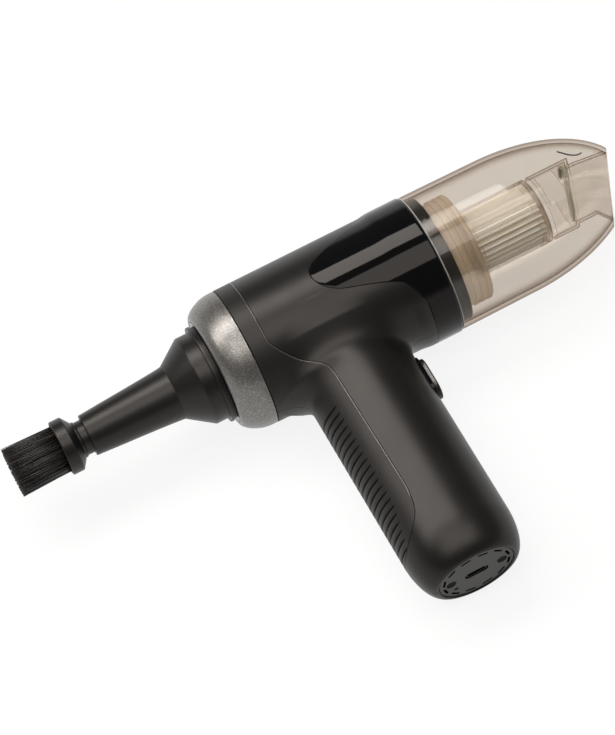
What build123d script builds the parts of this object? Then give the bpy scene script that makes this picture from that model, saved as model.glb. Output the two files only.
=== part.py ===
from build123d import *
import os
from math import asin, atan, ceil, cos, degrees, hypot, pi, radians, sin, sqrt

# A pistol-shaped handheld vacuum cleaner that also blows: a clear dust cup in front,
# a motor in the barrel, cells in the handle and a blower nozzle with a brush behind.
# It is drawn with the barrel along X from its rear face at X = 0 towards the cup,
# the handle down -Z, and the two moulded halves meeting at Y = 0.

# Barrel
barrel_radius = 30.0
barrel_wall = 2.4
body_end = 87.9
rim_rise = 0.6
rim_rise_start = 82.0
rim_rise_end = 85.0
overrun = 2.0

# Gloss panels and collar
collar_length = 11.7
panel_depth = 1.2
panel_proud = 0.1
tongue_length = 37.7
collar_edge_round = 0.5
seam_gap = 0.05

# Handle
handle_rear = 26.5
handle_depth = 47.6
handle_width = 42.0
handle_reach = 134.5
handle_lean = 0.7
handle_top = 17.0
flare_side_start = 27.0
flare_side_growth = 3.0
flare_rear_rise = 8.5
flare_rear_radius = 9.0
end_round_height = 18.0
end_round_width = 7.4
end_round_share = 0.945
flare_steps = 8
end_steps = 7
middle_steps = 3

# Soft rear grip
ring_front = 14.4
band_end = 22.2
grip_depth = 1.2
grip_side = 40.4
grip_side_low = 41.6
grip_sweep_top = 12.0
grip_sweep_bottom = 38.0
grip_side_rise = 37.5
grip_tip_rise = 9.0
grip_tip = 24.0
rib_top = 41.0
rib_end_rise = 16.5
rib_pitch = 3.84
rib_groove = 1.5
rib_depth = 0.8
rib_edge = 34.6

# Metal outlet ring, sleeve and guard
outlet_ring_start = 0.2
outlet_ring_lip_wall = 1.1
outlet_ring_wall = 1.6
sleeve_inset = 5.0
sleeve_wall = 5.1
sleeve_length = 19.0
sleeve_flange = 2.0
fit_gap = 0.1
guard_thickness = 1.6
guard_bars = 5
guard_bar = 1.2
guard_ring_wall = 1.4

# Blower nozzle
nozzle_wall = 1.6
nozzle_plug = 14.0
nozzle_flange_inset = 1.2
nozzle_step_height = 0.7
nozzle_flange_start = -2.6
nozzle_step_start = -1.2
nozzle_flange_height = 2.0
nozzle_base_start = -8.3
nozzle_cone_start = -19.0
nozzle_cone_radius = 11.8
nozzle_mid = -36.0
nozzle_mid_radius = 10.45
nozzle_tip = -57.9
nozzle_tip_radius = 9.0

# Brush head
brush_neck_radius = 7.3
brush_bore = 5.4
brush_neck_insert = 8.0
brush_cone_end = -61.2
brush_collar_start = -64.8
brush_collar_end = -70.1
brush_collar_radius = 11.9
bristle_tip = -92.5
bristle_inner = 6.2
bristle_outer = 10.5
bristle_rings = 5
bristle_pitch = 0.84
bristle_radius = 0.3
bristle_backing = 1.2
bristle_sides = 3
brush_quarters = 4
brush_socket_depth = 2.6

# Cup spigot with the motor intake
spigot_wall = 2.2
spigot_back = 91.0
spigot_front = 105.6
bulkhead_back = 98.0
bulkhead_thickness = 2.0
intake_radius = 12.5
intake_bars = 6
intake_bar = 1.3
intake_hub = 3.0
filter_boss_wall = 1.8
filter_boss_length = 4.5
lug_channel_width = 7.4
lug_channel_depth = 1.0
lug_width = 5.0
lug_length = 1.8
lug_back = 101.2
lug_clearance = 0.25

# Clear dust cup
cup_proud = 0.2
cup_draft = 0.3
cup_wall = 1.7
cup_start = 99.9
cup_nose_start = 135.0
cup_nose_length = 56.8
mouth_tilt = 23.5
mouth_station = 184.6
gasket_thickness = 1.0
gasket_width = 1.4

# Inlet duct with the flap chamber inside the cup
duct_wall = 1.0
duct_radius = 11.0
duct_drop = 0.8
chamber_radius = 14.2
chamber_start = 152.6
seat_station = 167.6
seat_tilt = 18.0
mouth_oval_height = 14.6
mouth_oval_width = 13.3
mouth_oval_drop = 5.6
chamber_window_length = 8.0
chamber_window_height = 15.0
chamber_window_start = 154.2

# Flap
flap_radius = 11.5
flap_thickness = 1.2
flap_gap = 0.15
flap_drop = 0.6
flap_pin_radius = 0.5
flap_pin_play = 0.05
flap_knuckle_radius = 0.95
flap_pin_height = 11.2
flap_pin_back = 2.2
flap_pin_half = 5.0
flap_knuckle_half = 3.2
ear_thickness = 1.0

# Filter
filter_back = 100.2
filter_neck_wall = 2.6
filter_neck_front = 109.8
filter_flange_inset = 4.8
filter_flange_height = 0.8
filter_flange_front = 117.8
filter_bore = 10.4
pleat_count = 30
pleat_outer = 12.9
pleat_inner = 9.6
pleat_sheet = 0.9
cage_radius = 14.2
cage_wall = 0.9
cage_end = 149.2
cage_slots = 10
cage_slot_width = 4.6
cage_slot_margin = 3.0
cap_end = 151.2
cap_dome = 0.8

# Motor and fan
motor_radius = 16.0
motor_back = 59.0
motor_front = 84.0
motor_bell_radius = 6.0
shaft_radius = 1.6
shaft_back = 56.5
shaft_front = 96.0
bearing_radius = 4.5
bearing_width = 3.0
bearing_play = 0.03
mount_width = 5.0
mount_inset = 1.5
mount_windows = 8
mount_window_share = 0.5
mount_rim = 1.6
shroud_back = 85.6
shroud_wall = 1.0
shroud_intake = 11.5
fan_tip_gap = 4.3
fan_back = 88.0
fan_front = 95.4
fan_disc = 1.4
fan_hub = 5.0
fan_blades = 9
fan_blade = 1.0
fan_blade_sweep = 50.0

# Cells, boards and charge socket
cell_radius = 9.2
cell_gap = 0.3
cell_top = 57.5
cell_foot_room = 12.0
cell_setback = 1.2
holder_thickness = 2.0
holder_margin = 0.5
holder_rail = 1.4
board_thickness = 1.6
board_clearance = 0.2
charge_board_depth = 17.0
charge_board_width = 16.0
socket_length = 7.3
socket_width = 8.9
socket_height = 3.2
socket_wall = 0.35
socket_tongue = 0.7
control_board_top = 39.0
control_board_height = 16.0
switch_side = 6.0
switch_height = 3.4
switch_stem_radius = 1.6
switch_stem = 0.9

# Power button
button_drop = 48.2
button_height = 19.6
button_width = 11.0
button_face = 76.6
button_travel = 0.8
button_play = 0.15
button_trim_depth = 2.2
button_trim_inset = 0.7
button_trim_share = 0.8
button_flange = 0.8
button_flange_thickness = 1.0
button_edge_round = 0.5
bezel_wall = 1.2
bezel_front = 74.5
bezel_back = 70.9

# Base plate
plate_edge_depth = 7.4
plate_edge_width = 6.8
plate_thickness = 2.2
plate_recess = 0.5
plate_gap = 0.15
plate_ledge = 1.4
plate_ledge_thickness = 1.5
vent_count = 12
vent_length = 4.6
vent_width = 1.1
vent_ring_inset = 1.9
charge_slot_length = 10.4
charge_slot_width = 3.8
base_screw_reach = 11.3
base_screw_radius = 1.1
base_screw_head = 2.1
base_screw_head_depth = 1.2
base_screw_length = 7.0
base_boss_radius = 2.5
base_boss_rib = 1.6
led_radius = 0.9
led_along = -9.6
led_across = 5.4

# Screws that hold the halves
case_screw_radius = 1.2
case_screw_head = 2.3
case_screw_head_depth = 1.6
case_screw_length = 12.0
case_boss_radius = 3.0
case_screw_places = ((34.0, -46.5), (53.5, 0.6))
screw_play = 0.1

# Joins and bars lie in the middle of their piece
half = 0.5
no_turn = 0.0
quarter_turn = 90.0
full_turn = 360.0

# Places worked out from the sizes above
neck_radius = barrel_radius - panel_depth
rim_radius = barrel_radius + rim_rise
cup_radius = barrel_radius + cup_proud
cup_nose_radius = cup_radius - cup_draft
flare_rear_start = barrel_radius + flare_rear_rise
plate_depth = handle_depth - 2 * plate_edge_depth
plate_width = handle_width - 2 * plate_edge_width
collar_end = body_end + collar_length
handle_axis = handle_rear + handle_depth * half
cavity_radius = barrel_radius - barrel_wall
spigot_radius = cavity_radius - fit_gap
cup_bore = cup_radius - cup_wall
sleeve_radius = cavity_radius - sleeve_inset
sleeve_bore = sleeve_radius - sleeve_wall
outlet_ring_lip = sleeve_radius + outlet_ring_lip_wall
nozzle_flange_radius = sleeve_radius - nozzle_flange_inset
nozzle_step_radius = nozzle_flange_radius - nozzle_step_height
nozzle_base_radius = nozzle_flange_radius - nozzle_flange_height
filter_flange_radius = cup_bore - filter_flange_inset
filter_neck_radius = filter_flange_radius - filter_flange_height
filter_boss_radius = filter_neck_radius - filter_neck_wall - fit_gap
fan_radius = spigot_radius - spigot_wall - fan_tip_gap
grip_side_bottom = handle_reach - grip_side_rise
grip_tip_drop = handle_reach - grip_tip_rise
rib_bottom = handle_reach - rib_end_rise
cell_bottom = handle_reach - cell_foot_room
cell_length = cell_bottom - cell_top
holder_foot = cell_bottom + holder_thickness
charge_board_top = holder_foot + board_clearance
plate_face = handle_reach - plate_recess
reach_all = handle_reach + barrel_radius
plate_inside = plate_face - plate_thickness
cavity_bottom = plate_inside - plate_ledge_thickness
bezel_span = 2 * (button_play + bezel_wall)
button_back = bezel_back - fit_gap - button_flange_thickness
switch_back = button_back - button_travel - fit_gap - switch_stem - switch_height


# Shapes turned about, or drawn along, the barrel axis
def turned(*points):
    """Solid of revolution about X from an outline of (x, radius) points."""
    return revolve(Plane.XZ * make_face(Polyline(*points, close=True)), Axis.X)


def tube(start, end, outer, inner=0.0):
    """Round bar, or tube, along X."""
    face = Circle(outer) - Circle(inner) if inner > 0 else Circle(outer)
    return extrude(Plane.YZ.offset(start) * face, end - start)


def prism(face):
    """Side outline, drawn in X and Z, run right across the object in Y."""
    return extrude(Plane.XZ * face, reach_all, both=True)


def outline(curves):
    """Face inside a closed run of curves."""
    return make_face(Wire([edge for curve in curves for edge in curve.edges()]))


def around(count, make, start=no_turn):
    """Copies of make() spaced evenly about the barrel axis."""
    return [Rot(start + full_turn * i / count, 0, 0) * make() for i in range(count)]


# Handle form: ovals lofted down its length
def rear_flare(drop):
    rise = min(max(flare_rear_start - drop, 0), flare_rear_rise)
    return flare_rear_radius - sqrt(flare_rear_radius**2 - rise**2)


def side_flare(drop):
    share = max(flare_side_start - drop, 0) / (flare_side_start - handle_top)
    return flare_side_growth * share**2


def end_inset(drop):
    share = max(drop - handle_reach + end_round_height, 0) / end_round_height
    return end_round_width * (1 - sqrt(1 - min(share, 1) ** 2 * end_round_share))


def handle_oval(drop, inset=0.0):
    """Handle's section at a drop below the barrel axis: its centre and half axes."""
    rear, side, end = rear_flare(drop), side_flare(drop), end_inset(drop)
    centre = handle_axis + handle_lean * drop / handle_reach - rear * half
    half_depth = (handle_depth + rear) * half - end - inset
    half_width = handle_width * half + side - end - inset
    return centre, half_depth, half_width


def handle_section(drop, inset=0.0):
    centre, half_depth, half_width = handle_oval(drop, inset)
    return Pos(centre, 0, -drop) * Ellipse(half_depth, half_width)


def handle_drops(bottom):
    """Heights of the handle's sections: close in the flare and in the rounded end."""
    end_start = handle_reach - end_round_height
    flare_pitch = (flare_rear_start - handle_top) / flare_steps
    flare = [handle_top + flare_pitch * i for i in range(flare_steps + 1)]
    middle = [flare_rear_start + (end_start - flare_rear_start) * i / middle_steps
              for i in range(1, middle_steps + 1)]
    end = [end_start + (bottom - end_start) * sin(radians(quarter_turn * i / end_steps))
           for i in range(1, end_steps + 1)]
    return flare + middle + end


def body_form(inset=0.0, bottom=handle_reach):
    """Barrel and handle as one solid, its surface moved in by inset."""
    barrel = turned(
        (ring_front, 0),
        (ring_front, barrel_radius - inset),
        (rim_rise_start, barrel_radius - inset),
        (rim_rise_end, rim_radius - inset),
        (body_end, rim_radius - inset),
        (body_end, 0),
    )
    handle = loft([handle_section(drop, inset) for drop in handle_drops(bottom)])
    return barrel + handle


outer_body = body_form()
recess_body = body_form(max(grip_depth, panel_depth) + seam_gap)


# Side outlines of the soft grip and the gloss panels
grip_sweep_shares = ((0, 0), (0.14, 0.21), (0.49, 0.46), (0.85, 0.68), (1, 1))
grip_tail_shares = ((0, 0), (0.10, 0.28), (0.36, 0.60), (1, 1))
tongue_top_shares = ((1, 0.90), (0.915, 0.80), (0.645, 0.645), (0.411, 0.517), (0.10, 0.31))
tongue_tip_shares = ((0.10, 0.31), (0, 0.117), (0.0875, -0.147), (0.223, -0.268))
tongue_low_shares = ((0.223, -0.268), (0.459, -0.363), (0.865, -0.545), (1, -0.80))


def scaled(shares, start, span):
    """Points of an outline from its shares of a span in X and Z."""
    return [(start[0] + x * span[0], start[1] + z * span[1]) for x, z in shares]


def grip_region():
    sweep_span = (grip_side - band_end, grip_sweep_top - grip_sweep_bottom)
    sweep = scaled(grip_sweep_shares, (band_end, -grip_sweep_top), sweep_span)
    tail_span = (grip_tip - grip_side_low, grip_side_bottom - grip_tip_drop)
    tail = scaled(grip_tail_shares, (grip_side_low, -grip_side_bottom), tail_span)
    above = barrel_radius + overrun
    edges = [
        Line((band_end, above), sweep[0]),
        Spline(*sweep, tangents=((0, -1), (0, -1))),
        Line(sweep[-1], tail[0]),
        Spline(*tail, tangents=((0, -1), (-1, -half))),
        Line(tail[-1], (0, tail[-1][1])),
        Line((0, tail[-1][1]), (0, above)),
        Line((0, above), (band_end, above)),
    ]
    return prism(outline(edges))


def tongue_region():
    span = (tongue_length, barrel_radius)
    start = (body_end - tongue_length, 0)
    top, tip, low = [
        scaled(shares, start, span)
        for shares in (tongue_top_shares, tongue_tip_shares, tongue_low_shares)
    ]
    above, tip_slope = barrel_radius + overrun, barrel_radius * half
    edges = [
        Line((body_end, above), top[0]),
        Spline(*top),
        Spline(*tip, tangents=((-tongue_length, -tip_slope), (tongue_length, -tip_slope))),
        Spline(*low),
        Line(low[-1], (body_end, -above)),
        Line((body_end, -above), (collar_end, -above)),
        Line((collar_end, -above), (collar_end, above)),
        Line((collar_end, above), (body_end, above)),
    ]
    return prism(outline(edges))


def halves(shape):
    """Left (-Y) and right (+Y) half of a shape that is split down the middle."""
    return split(shape, Plane.XZ, keep=Keep.TOP), split(shape, Plane.XZ, keep=Keep.BOTTOM)


# Stadium and oval bars
def stadium(length, width):
    return SlotOverall(length, width)


def button_bar(back, front, height, width):
    """Bar along X with round ends, standing upright at the button's place."""
    face = Plane.YZ.offset(back) * Pos(0, -button_drop) * Rot(0, 0, quarter_turn) * stadium(height, width)
    return extrude(face, front - back)


def plate_bar(drop, thickness, depth, width):
    """Oval bar along Z at the foot of the handle, from drop up by thickness."""
    centre = handle_oval(handle_reach)[0]
    return extrude(Pos(centre, 0, -drop) * Ellipse(depth * half, width * half), thickness)


def upright(x, y, drop, length, radius):
    """Round bar along Z, from drop up by length."""
    return extrude(Pos(x, y, -drop) * Circle(radius), length)


def crossbar(x, z, start, end, radius):
    """Round bar along Y between two places across the object."""
    return extrude(Plane.XZ.offset(-end) * Pos(x, z) * Circle(radius), end - start)


# Housing halves with the recesses for grip and panels
def housing():
    shell = outer_body + tube(body_end, collar_end, neck_radius)
    shell -= tube(ring_front, collar_end, cavity_radius)
    shell -= loft([handle_section(d, barrel_wall) for d in handle_drops(handle_reach) if d < cavity_bottom]
                  + [handle_section(cavity_bottom, barrel_wall)])
    ledge_depth, ledge_width = [size - plate_ledge - plate_ledge for size in (plate_depth, plate_width)]
    shell -= plate_bar(handle_reach, barrel_radius * half, ledge_depth, ledge_width)
    pocket_depth, pocket_width = [size + plate_gap + plate_gap for size in (plate_depth, plate_width)]
    shell -= plate_bar(handle_reach, plate_recess + plate_thickness, pocket_depth, pocket_width)
    shell -= button_bar(
        button_back - button_travel, button_face, button_height + bezel_span, button_width + bezel_span
    )
    shell += case_bosses() + base_bosses()
    return shell


def seat_reach(x, z):
    """Distance from the middle to the floor of the recess that covers a screw's head."""
    if z > -barrel_radius:
        return sqrt((barrel_radius - panel_depth - seam_gap) ** 2 - (abs(z) + case_screw_head) ** 2)
    centre, half_depth, half_width = handle_oval(-z, grip_depth + seam_gap)
    return half_width * sqrt(1 - ((x - case_screw_head - centre) / half_depth) ** 2) - screw_play


def case_bosses():
    return [crossbar(x, z, -barrel_radius, barrel_radius, case_boss_radius) & recess_body
            for x, z in case_screw_places]


def base_screw_places():
    foot = handle_oval(handle_reach)[0]
    return [(foot + side * base_screw_reach, side) for side in (-1, 1)]


def base_bosses():
    """Bosses for the foot's screws, each on a rib from the handle's wall."""
    length = plate_inside - holder_foot - fit_gap
    bosses = []
    for x, side in base_screw_places():
        boss = upright(x, 0, plate_inside, length, base_boss_radius)
        boss += Pos(x + side * base_boss_radius, 0, -plate_inside) * Box(
            plate_depth * half - base_screw_reach, base_boss_rib, length,
            align=(Align.CENTER, Align.CENTER, Align.MIN),
        )
        bosses.append(boss & recess_body)
    return bosses


def case_screw(x, z):
    """Countersunk-head screw along Y, its head on the right half."""
    reach = seat_reach(x, z)
    tip = reach - case_screw_head_depth - case_screw_length
    head = crossbar(x, z, reach - case_screw_head_depth, reach, case_screw_head)
    return head + crossbar(x, z, tip, reach - case_screw_head_depth, case_screw_radius)


def case_screw_hole(x, z):
    reach = seat_reach(x, z)
    tip = reach - case_screw_head_depth - case_screw_length - screw_play
    counterbore = crossbar(x, z, reach - case_screw_head_depth, barrel_radius, case_screw_head + screw_play)
    return counterbore + crossbar(x, z, tip, reach, case_screw_radius + screw_play)


def make_housing(parts):
    shell = housing()
    grip_layer = outer_body - recess_body
    panel_layer = tube(0, body_end, rim_radius + overrun, barrel_radius - panel_depth - seam_gap)
    shell -= grip_layer & grip_region()
    shell -= panel_layer & tongue_region()
    for place in case_screw_places:
        shell -= case_screw_hole(*place)
    tip_drop = plate_face - fit_gap - base_screw_length - screw_play
    for x, _ in base_screw_places():
        shell -= upright(x, 0, plate_inside, plate_inside - tip_drop, base_screw_radius + screw_play)
    left, right = halves(shell)
    parts["housing_left"] = left
    parts["housing_right"] = right
    parts["case_screws"] = [case_screw(*place) for place in case_screw_places]


def rib_grooves():
    """Slots across the back of the grip, one tool each."""
    count = ceil((rib_bottom - rib_top) / rib_pitch)
    tools = []
    for i in range(count):
        drop = rib_top + rib_pitch * i
        centre, half_depth, half_width = handle_oval(drop)
        face = Ellipse(half_depth + overrun, half_width + overrun)
        face -= Ellipse(half_depth - rib_depth, half_width - rib_depth)
        tools.append(extrude(Pos(centre, 0, -drop) * face, rib_groove))
    reach = Pos(rib_edge, 0, -handle_reach) * Box(
        handle_depth, handle_depth + handle_depth, handle_reach + handle_reach,
        align=(Align.MAX, Align.CENTER, Align.CENTER),
    )
    return [tool & reach for tool in tools]


def make_grip(parts):
    grip = (outer_body - body_form(grip_depth)) & grip_region()
    for tool in rib_grooves():
        grip -= tool
    parts["rear_grip_left"], parts["rear_grip_right"] = halves(grip)


def make_panels(parts):
    """Gloss side panels, whose tongues run back along the barrel."""
    proud = rim_radius + panel_proud
    layer = turned(
        (body_end - tongue_length, barrel_radius - panel_depth),
        (body_end - tongue_length, barrel_radius + panel_proud),
        (rim_rise_start, barrel_radius + panel_proud),
        (rim_rise_end, proud),
        (collar_end - collar_edge_round, proud),
        (collar_end, proud - collar_edge_round),
        (collar_end, barrel_radius - panel_depth + seam_gap),
        (collar_end - gasket_thickness - fit_gap, barrel_radius - panel_depth + seam_gap),
        (collar_end - gasket_thickness - fit_gap, barrel_radius - panel_depth),
    )
    panel = layer & tongue_region()
    gasket_outer = neck_radius + seam_gap + gasket_width
    panel -= tube(collar_end - gasket_thickness - fit_gap, collar_end, gasket_outer)
    parts["gloss_panel_left"], parts["gloss_panel_right"] = halves(panel)
    parts["cup_gasket"] = tube(
        collar_end - gasket_thickness, collar_end + fit_gap, gasket_outer - seam_gap, neck_radius + seam_gap
    )


# Rear outlet: metal ring, sleeve and guard
outlet_ring_x_shares = (0, 0.06, 0.25, 0.53, 0.75, 1)
outlet_ring_r_shares = (0, 0.12, 0.42, 0.87, 1, 1)


def make_outlet(parts):
    length = ring_front - fit_gap - outlet_ring_start
    rise = barrel_radius - fit_gap - outlet_ring_lip
    dome = [
        (outlet_ring_start + x * length, outlet_ring_lip + r * rise)
        for x, r in zip(outlet_ring_x_shares, outlet_ring_r_shares)
    ]
    front = dome[-1]
    inner_start = (outlet_ring_start + outlet_ring_wall, sleeve_radius + fit_gap)
    inner = [(x + outlet_ring_wall * half, r - outlet_ring_wall) for x, r in dome[2:-1]]
    face = outline([
        Spline(*dome, tangents=((0, 1), (1, 0))),
        Polyline(front, (front[0], front[1] - outlet_ring_wall), *reversed(inner), inner_start),
        Polyline(inner_start, (outlet_ring_start, inner_start[1]), dome[0]),
    ])
    parts["outlet_ring"] = revolve(Plane.XZ * face, Axis.X)
    sleeve_start = outlet_ring_start + fit_gap
    sleeve = tube(sleeve_start, sleeve_start + sleeve_length, sleeve_radius, sleeve_bore)
    flange_start = ring_front + overrun
    sleeve += tube(flange_start, flange_start + sleeve_flange, cavity_radius - fit_gap, sleeve_bore)
    parts["outlet_sleeve"] = sleeve
    guard_start = nozzle_plug + outlet_ring_start + fit_gap
    guard = tube(guard_start, guard_start + guard_thickness, sleeve_bore - seam_gap,
                 sleeve_bore - guard_ring_wall)
    pitch = 2 * sleeve_bore / (guard_bars + 1)
    for i in range(guard_bars):
        across = -sleeve_bore + pitch * (i + 1)
        bar_reach = sqrt(sleeve_bore**2 - across**2) - guard_ring_wall * half
        guard += Pos(guard_start, across, 0) * Box(
            guard_thickness, guard_bar, bar_reach + bar_reach,
            align=(Align.MIN, Align.CENTER, Align.CENTER),
        )
    parts["outlet_guard"] = guard


# Blower nozzle and brush head
def make_nozzle(parts):
    plug_radius = sleeve_bore - fit_gap
    bore = brush_neck_radius + seam_gap
    step_front = outlet_ring_start
    outer_curve = Spline(
        (nozzle_cone_start, nozzle_cone_radius),
        (nozzle_mid, nozzle_mid_radius),
        (nozzle_tip, nozzle_tip_radius),
    )
    face = outline([
        Polyline(
            (nozzle_cone_start, nozzle_cone_radius),
            (nozzle_base_start, nozzle_base_radius),
            (nozzle_flange_start, nozzle_base_radius),
            (nozzle_flange_start, nozzle_flange_radius),
            (nozzle_step_start, nozzle_flange_radius),
            (nozzle_step_start, nozzle_step_radius),
            (step_front, nozzle_step_radius),
            (step_front, plug_radius),
            (nozzle_plug, plug_radius),
            (nozzle_plug, plug_radius - nozzle_wall),
            (nozzle_base_start, plug_radius - nozzle_wall),
            (nozzle_cone_start, nozzle_cone_radius - nozzle_wall),
            (nozzle_tip + brush_neck_insert + fit_gap, bore),
            (nozzle_tip, bore),
            (nozzle_tip, nozzle_tip_radius),
        ),
        outer_curve,
    ])
    parts["blower_nozzle"] = revolve(Plane.XZ * face, Axis.X)


def make_brush(parts):
    root = brush_collar_end + brush_socket_depth
    socket_in, socket_out = bristle_inner - bristle_radius, bristle_outer + bristle_radius
    parts["brush_collar"] = turned(
        (nozzle_tip + brush_neck_insert, brush_bore),
        (nozzle_tip + brush_neck_insert, brush_neck_radius),
        (brush_cone_end, brush_neck_radius),
        (brush_collar_start, brush_collar_radius),
        (brush_collar_end, brush_collar_radius),
        (brush_collar_end, socket_out + fit_gap),
        (root, socket_out + fit_gap),
        (root, brush_bore),
    )
    ring_pitch = (bristle_outer - bristle_inner) / (bristle_rings - 1)
    backing = tube(root - bristle_backing, root, socket_out, socket_in)
    spots = []
    for ring in range(bristle_rings):
        radius = bristle_inner + ring_pitch * ring
        count = round(2 * pi * radius / bristle_pitch / brush_quarters) * brush_quarters
        spots += [Rot(0, 0, full_turn * (i + half) / count) * Pos(radius, 0) for i in range(count)]
    print("bristles", len(spots))
    for quarter in range(brush_quarters):
        turn = quarter_turn * quarter
        wedge = Rot(turn, 0, 0) * Pos(root, 0, 0) * Box(
            brush_socket_depth, brush_collar_radius, brush_collar_radius,
            align=(Align.MAX, Align.MIN, Align.MIN)
        )
        slice_of_backing = backing & wedge
        own = [spot for spot in spots if quadrant(spot) == quarter]
        strands = [
            extrude(Plane.YZ.offset(bristle_tip) * spot * RegularPolygon(bristle_radius, bristle_sides),
                    root - bristle_backing * half - bristle_tip)
            for spot in own
        ]
        parts["bristles_" + str(quarter + 1)] = slice_of_backing.fuse(*strands)


def quadrant(spot):
    """Quarter of the brush, counted about X from +Y towards +Z, that a strand stands in."""
    y, z = spot.position.X, spot.position.Y
    return (0 if z > 0 else 3) if y > 0 else (1 if z > 0 else 2)


# Cup spigot, cup and duct
def spigot_channel():
    box = Pos(collar_end, spigot_radius, 0) * Box(
        spigot_front, 2 * lug_channel_depth, lug_channel_width, align=(Align.MIN, Align.CENTER, Align.CENTER)
    )
    return box


def make_spigot(parts):
    bulkhead_front = bulkhead_back + bulkhead_thickness
    spigot = tube(spigot_back, spigot_front, spigot_radius, spigot_radius - spigot_wall)
    spigot += tube(bulkhead_back, bulkhead_front, spigot_radius - spigot_wall * half, intake_radius)
    spigot += tube(bulkhead_back, bulkhead_front + filter_boss_length, filter_boss_radius,
                   filter_boss_radius - filter_boss_wall)
    spigot += tube(bulkhead_back, bulkhead_front, intake_hub)
    for bar in around(intake_bars, intake_spoke):
        spigot += bar
    for side in (quarter_turn, -quarter_turn):
        spigot -= Rot(side - quarter_turn, 0, 0) * spigot_channel()
    parts["cup_spigot"] = spigot


def intake_spoke():
    return Pos(bulkhead_back, 0, intake_hub * half) * Box(
        bulkhead_thickness, intake_bar, intake_radius, align=(Align.MIN, Align.CENTER, Align.MIN)
    )


def ogive(inset):
    """Cup's outside, or inside, as a solid: a plain bore, then an elliptical nose."""
    nose, radius = cup_nose_length - inset, cup_nose_radius - inset
    base = cup_radius - inset
    tip = cup_nose_start + nose
    curve = EllipticalCenterArc((cup_nose_start, 0), nose, radius, arc_size=quarter_turn)
    face = outline([
        Polyline((tip, 0), (cup_start, 0), (cup_start, base), (cup_nose_start, radius)),
        curve,
    ])
    return revolve(Plane.XZ * face, Axis.X)


def tilted_plane(station, tilt):
    """Plane across the axis at a station, its top leaning forwards by tilt."""
    lean = radians(tilt)
    return Plane(origin=(station, 0, 0), x_dir=(0, 1, 0), z_dir=(cos(lean), 0, -sin(lean)))


def behind(shape, plane):
    return split(shape, plane, keep=Keep.BOTTOM)


def make_cup(parts):
    mouth = tilted_plane(mouth_station, mouth_tilt)
    shell = behind(ogive(no_turn) - ogive(cup_wall) - tube(cup_start, cup_nose_start, cup_bore), mouth)
    lug_height = spigot_radius - lug_channel_depth + lug_clearance
    for side in (no_turn, 2 * quarter_turn):
        lug = Pos(lug_back, lug_height, 0) * Box(
            lug_length, cup_bore - lug_height + cup_wall * half, lug_width,
            align=(Align.MIN, Align.MIN, Align.CENTER),
        )
        shell += Rot(side, 0, 0) * lug
    parts["dust_cup"] = shell
    parts["inlet_duct"] = make_duct(mouth)


def passage(wall):
    """Air way from the round seat to the oval mouth, as a solid."""
    seat_start = seat_station - chamber_radius * half
    round_end = Plane.YZ.offset(seat_start) * Pos(0, -duct_drop) * Circle(duct_radius + wall)
    mouth = tilted_plane(mouth_station, mouth_tilt)
    oval = Ellipse(mouth_oval_width + wall, mouth_oval_height + wall)
    # The mouth plane's own Y runs down the object, so a drop is positive there
    oval = mouth.offset(duct_wall * half) * Pos(0, mouth_oval_drop * mouth_down) * oval
    straight = Plane.YZ.offset(seat_station + duct_radius * half) * Pos(0, -duct_drop)
    straight *= Circle(duct_radius + wall)
    return loft([round_end, straight], ruled=True) + loft([straight, oval], ruled=True)


mouth_down = 1 if tilted_plane(mouth_station, mouth_tilt).y_dir.Z < 0 else -1


def make_duct(mouth):
    seat = tilted_plane(seat_station, seat_tilt)
    inner_seat = seat.offset(-duct_wall)
    chamber = behind(tube(chamber_start, mouth_station, chamber_radius), seat)
    hollow = behind(tube(chamber_start, mouth_station, chamber_radius - duct_wall), inner_seat)
    throat = passage(duct_wall) - behind(tube(chamber_start, mouth_station, cup_bore), seat)
    throat = behind(throat & ogive(cup_wall + seam_gap), mouth)
    duct = chamber + throat - hollow - passage(0)
    for side in (-1, 1):
        window = Pos(chamber_window_start, side * chamber_radius, 0) * Box(
            chamber_window_length, chamber_radius, chamber_window_height,
            align=(Align.MIN, Align.CENTER, Align.CENTER),
        )
        duct -= window
    ears, bore = flap_ears()
    duct += [ear & tube(chamber_start, mouth_station, chamber_radius - duct_wall * half) for ear in ears]
    return duct - bore


def flap_plane():
    """Plane of the flap's front face, just behind its seat."""
    return tilted_plane(seat_station, seat_tilt).offset(-duct_wall - flap_gap)


def flap_pin_place():
    plane = flap_plane().offset(-flap_pin_back)
    return plane.from_local_coords((0, -flap_pin_height * mouth_down, 0))


def flap_ears():
    """Two ears on the seat that hold the flap's pin, and the pin's bore through them."""
    place = flap_pin_place()
    ears = []
    for side in (-1, 1):
        middle = side * (flap_pin_half - ear_thickness * half)
        corner = Pos(-flap_knuckle_radius, 0, -flap_knuckle_radius)
        ears.append(Pos(place.X, middle, place.Z) * Rot(0, seat_tilt, 0) * corner * Box(
            flap_pin_back + flap_pin_back, ear_thickness, flap_knuckle_radius + flap_pin_back,
            align=(Align.MIN, Align.CENTER, Align.MIN),
        ))
    bore = crossbar(place.X, place.Z, -flap_pin_half, flap_pin_half, flap_pin_radius + flap_pin_play)
    return ears, bore


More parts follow.
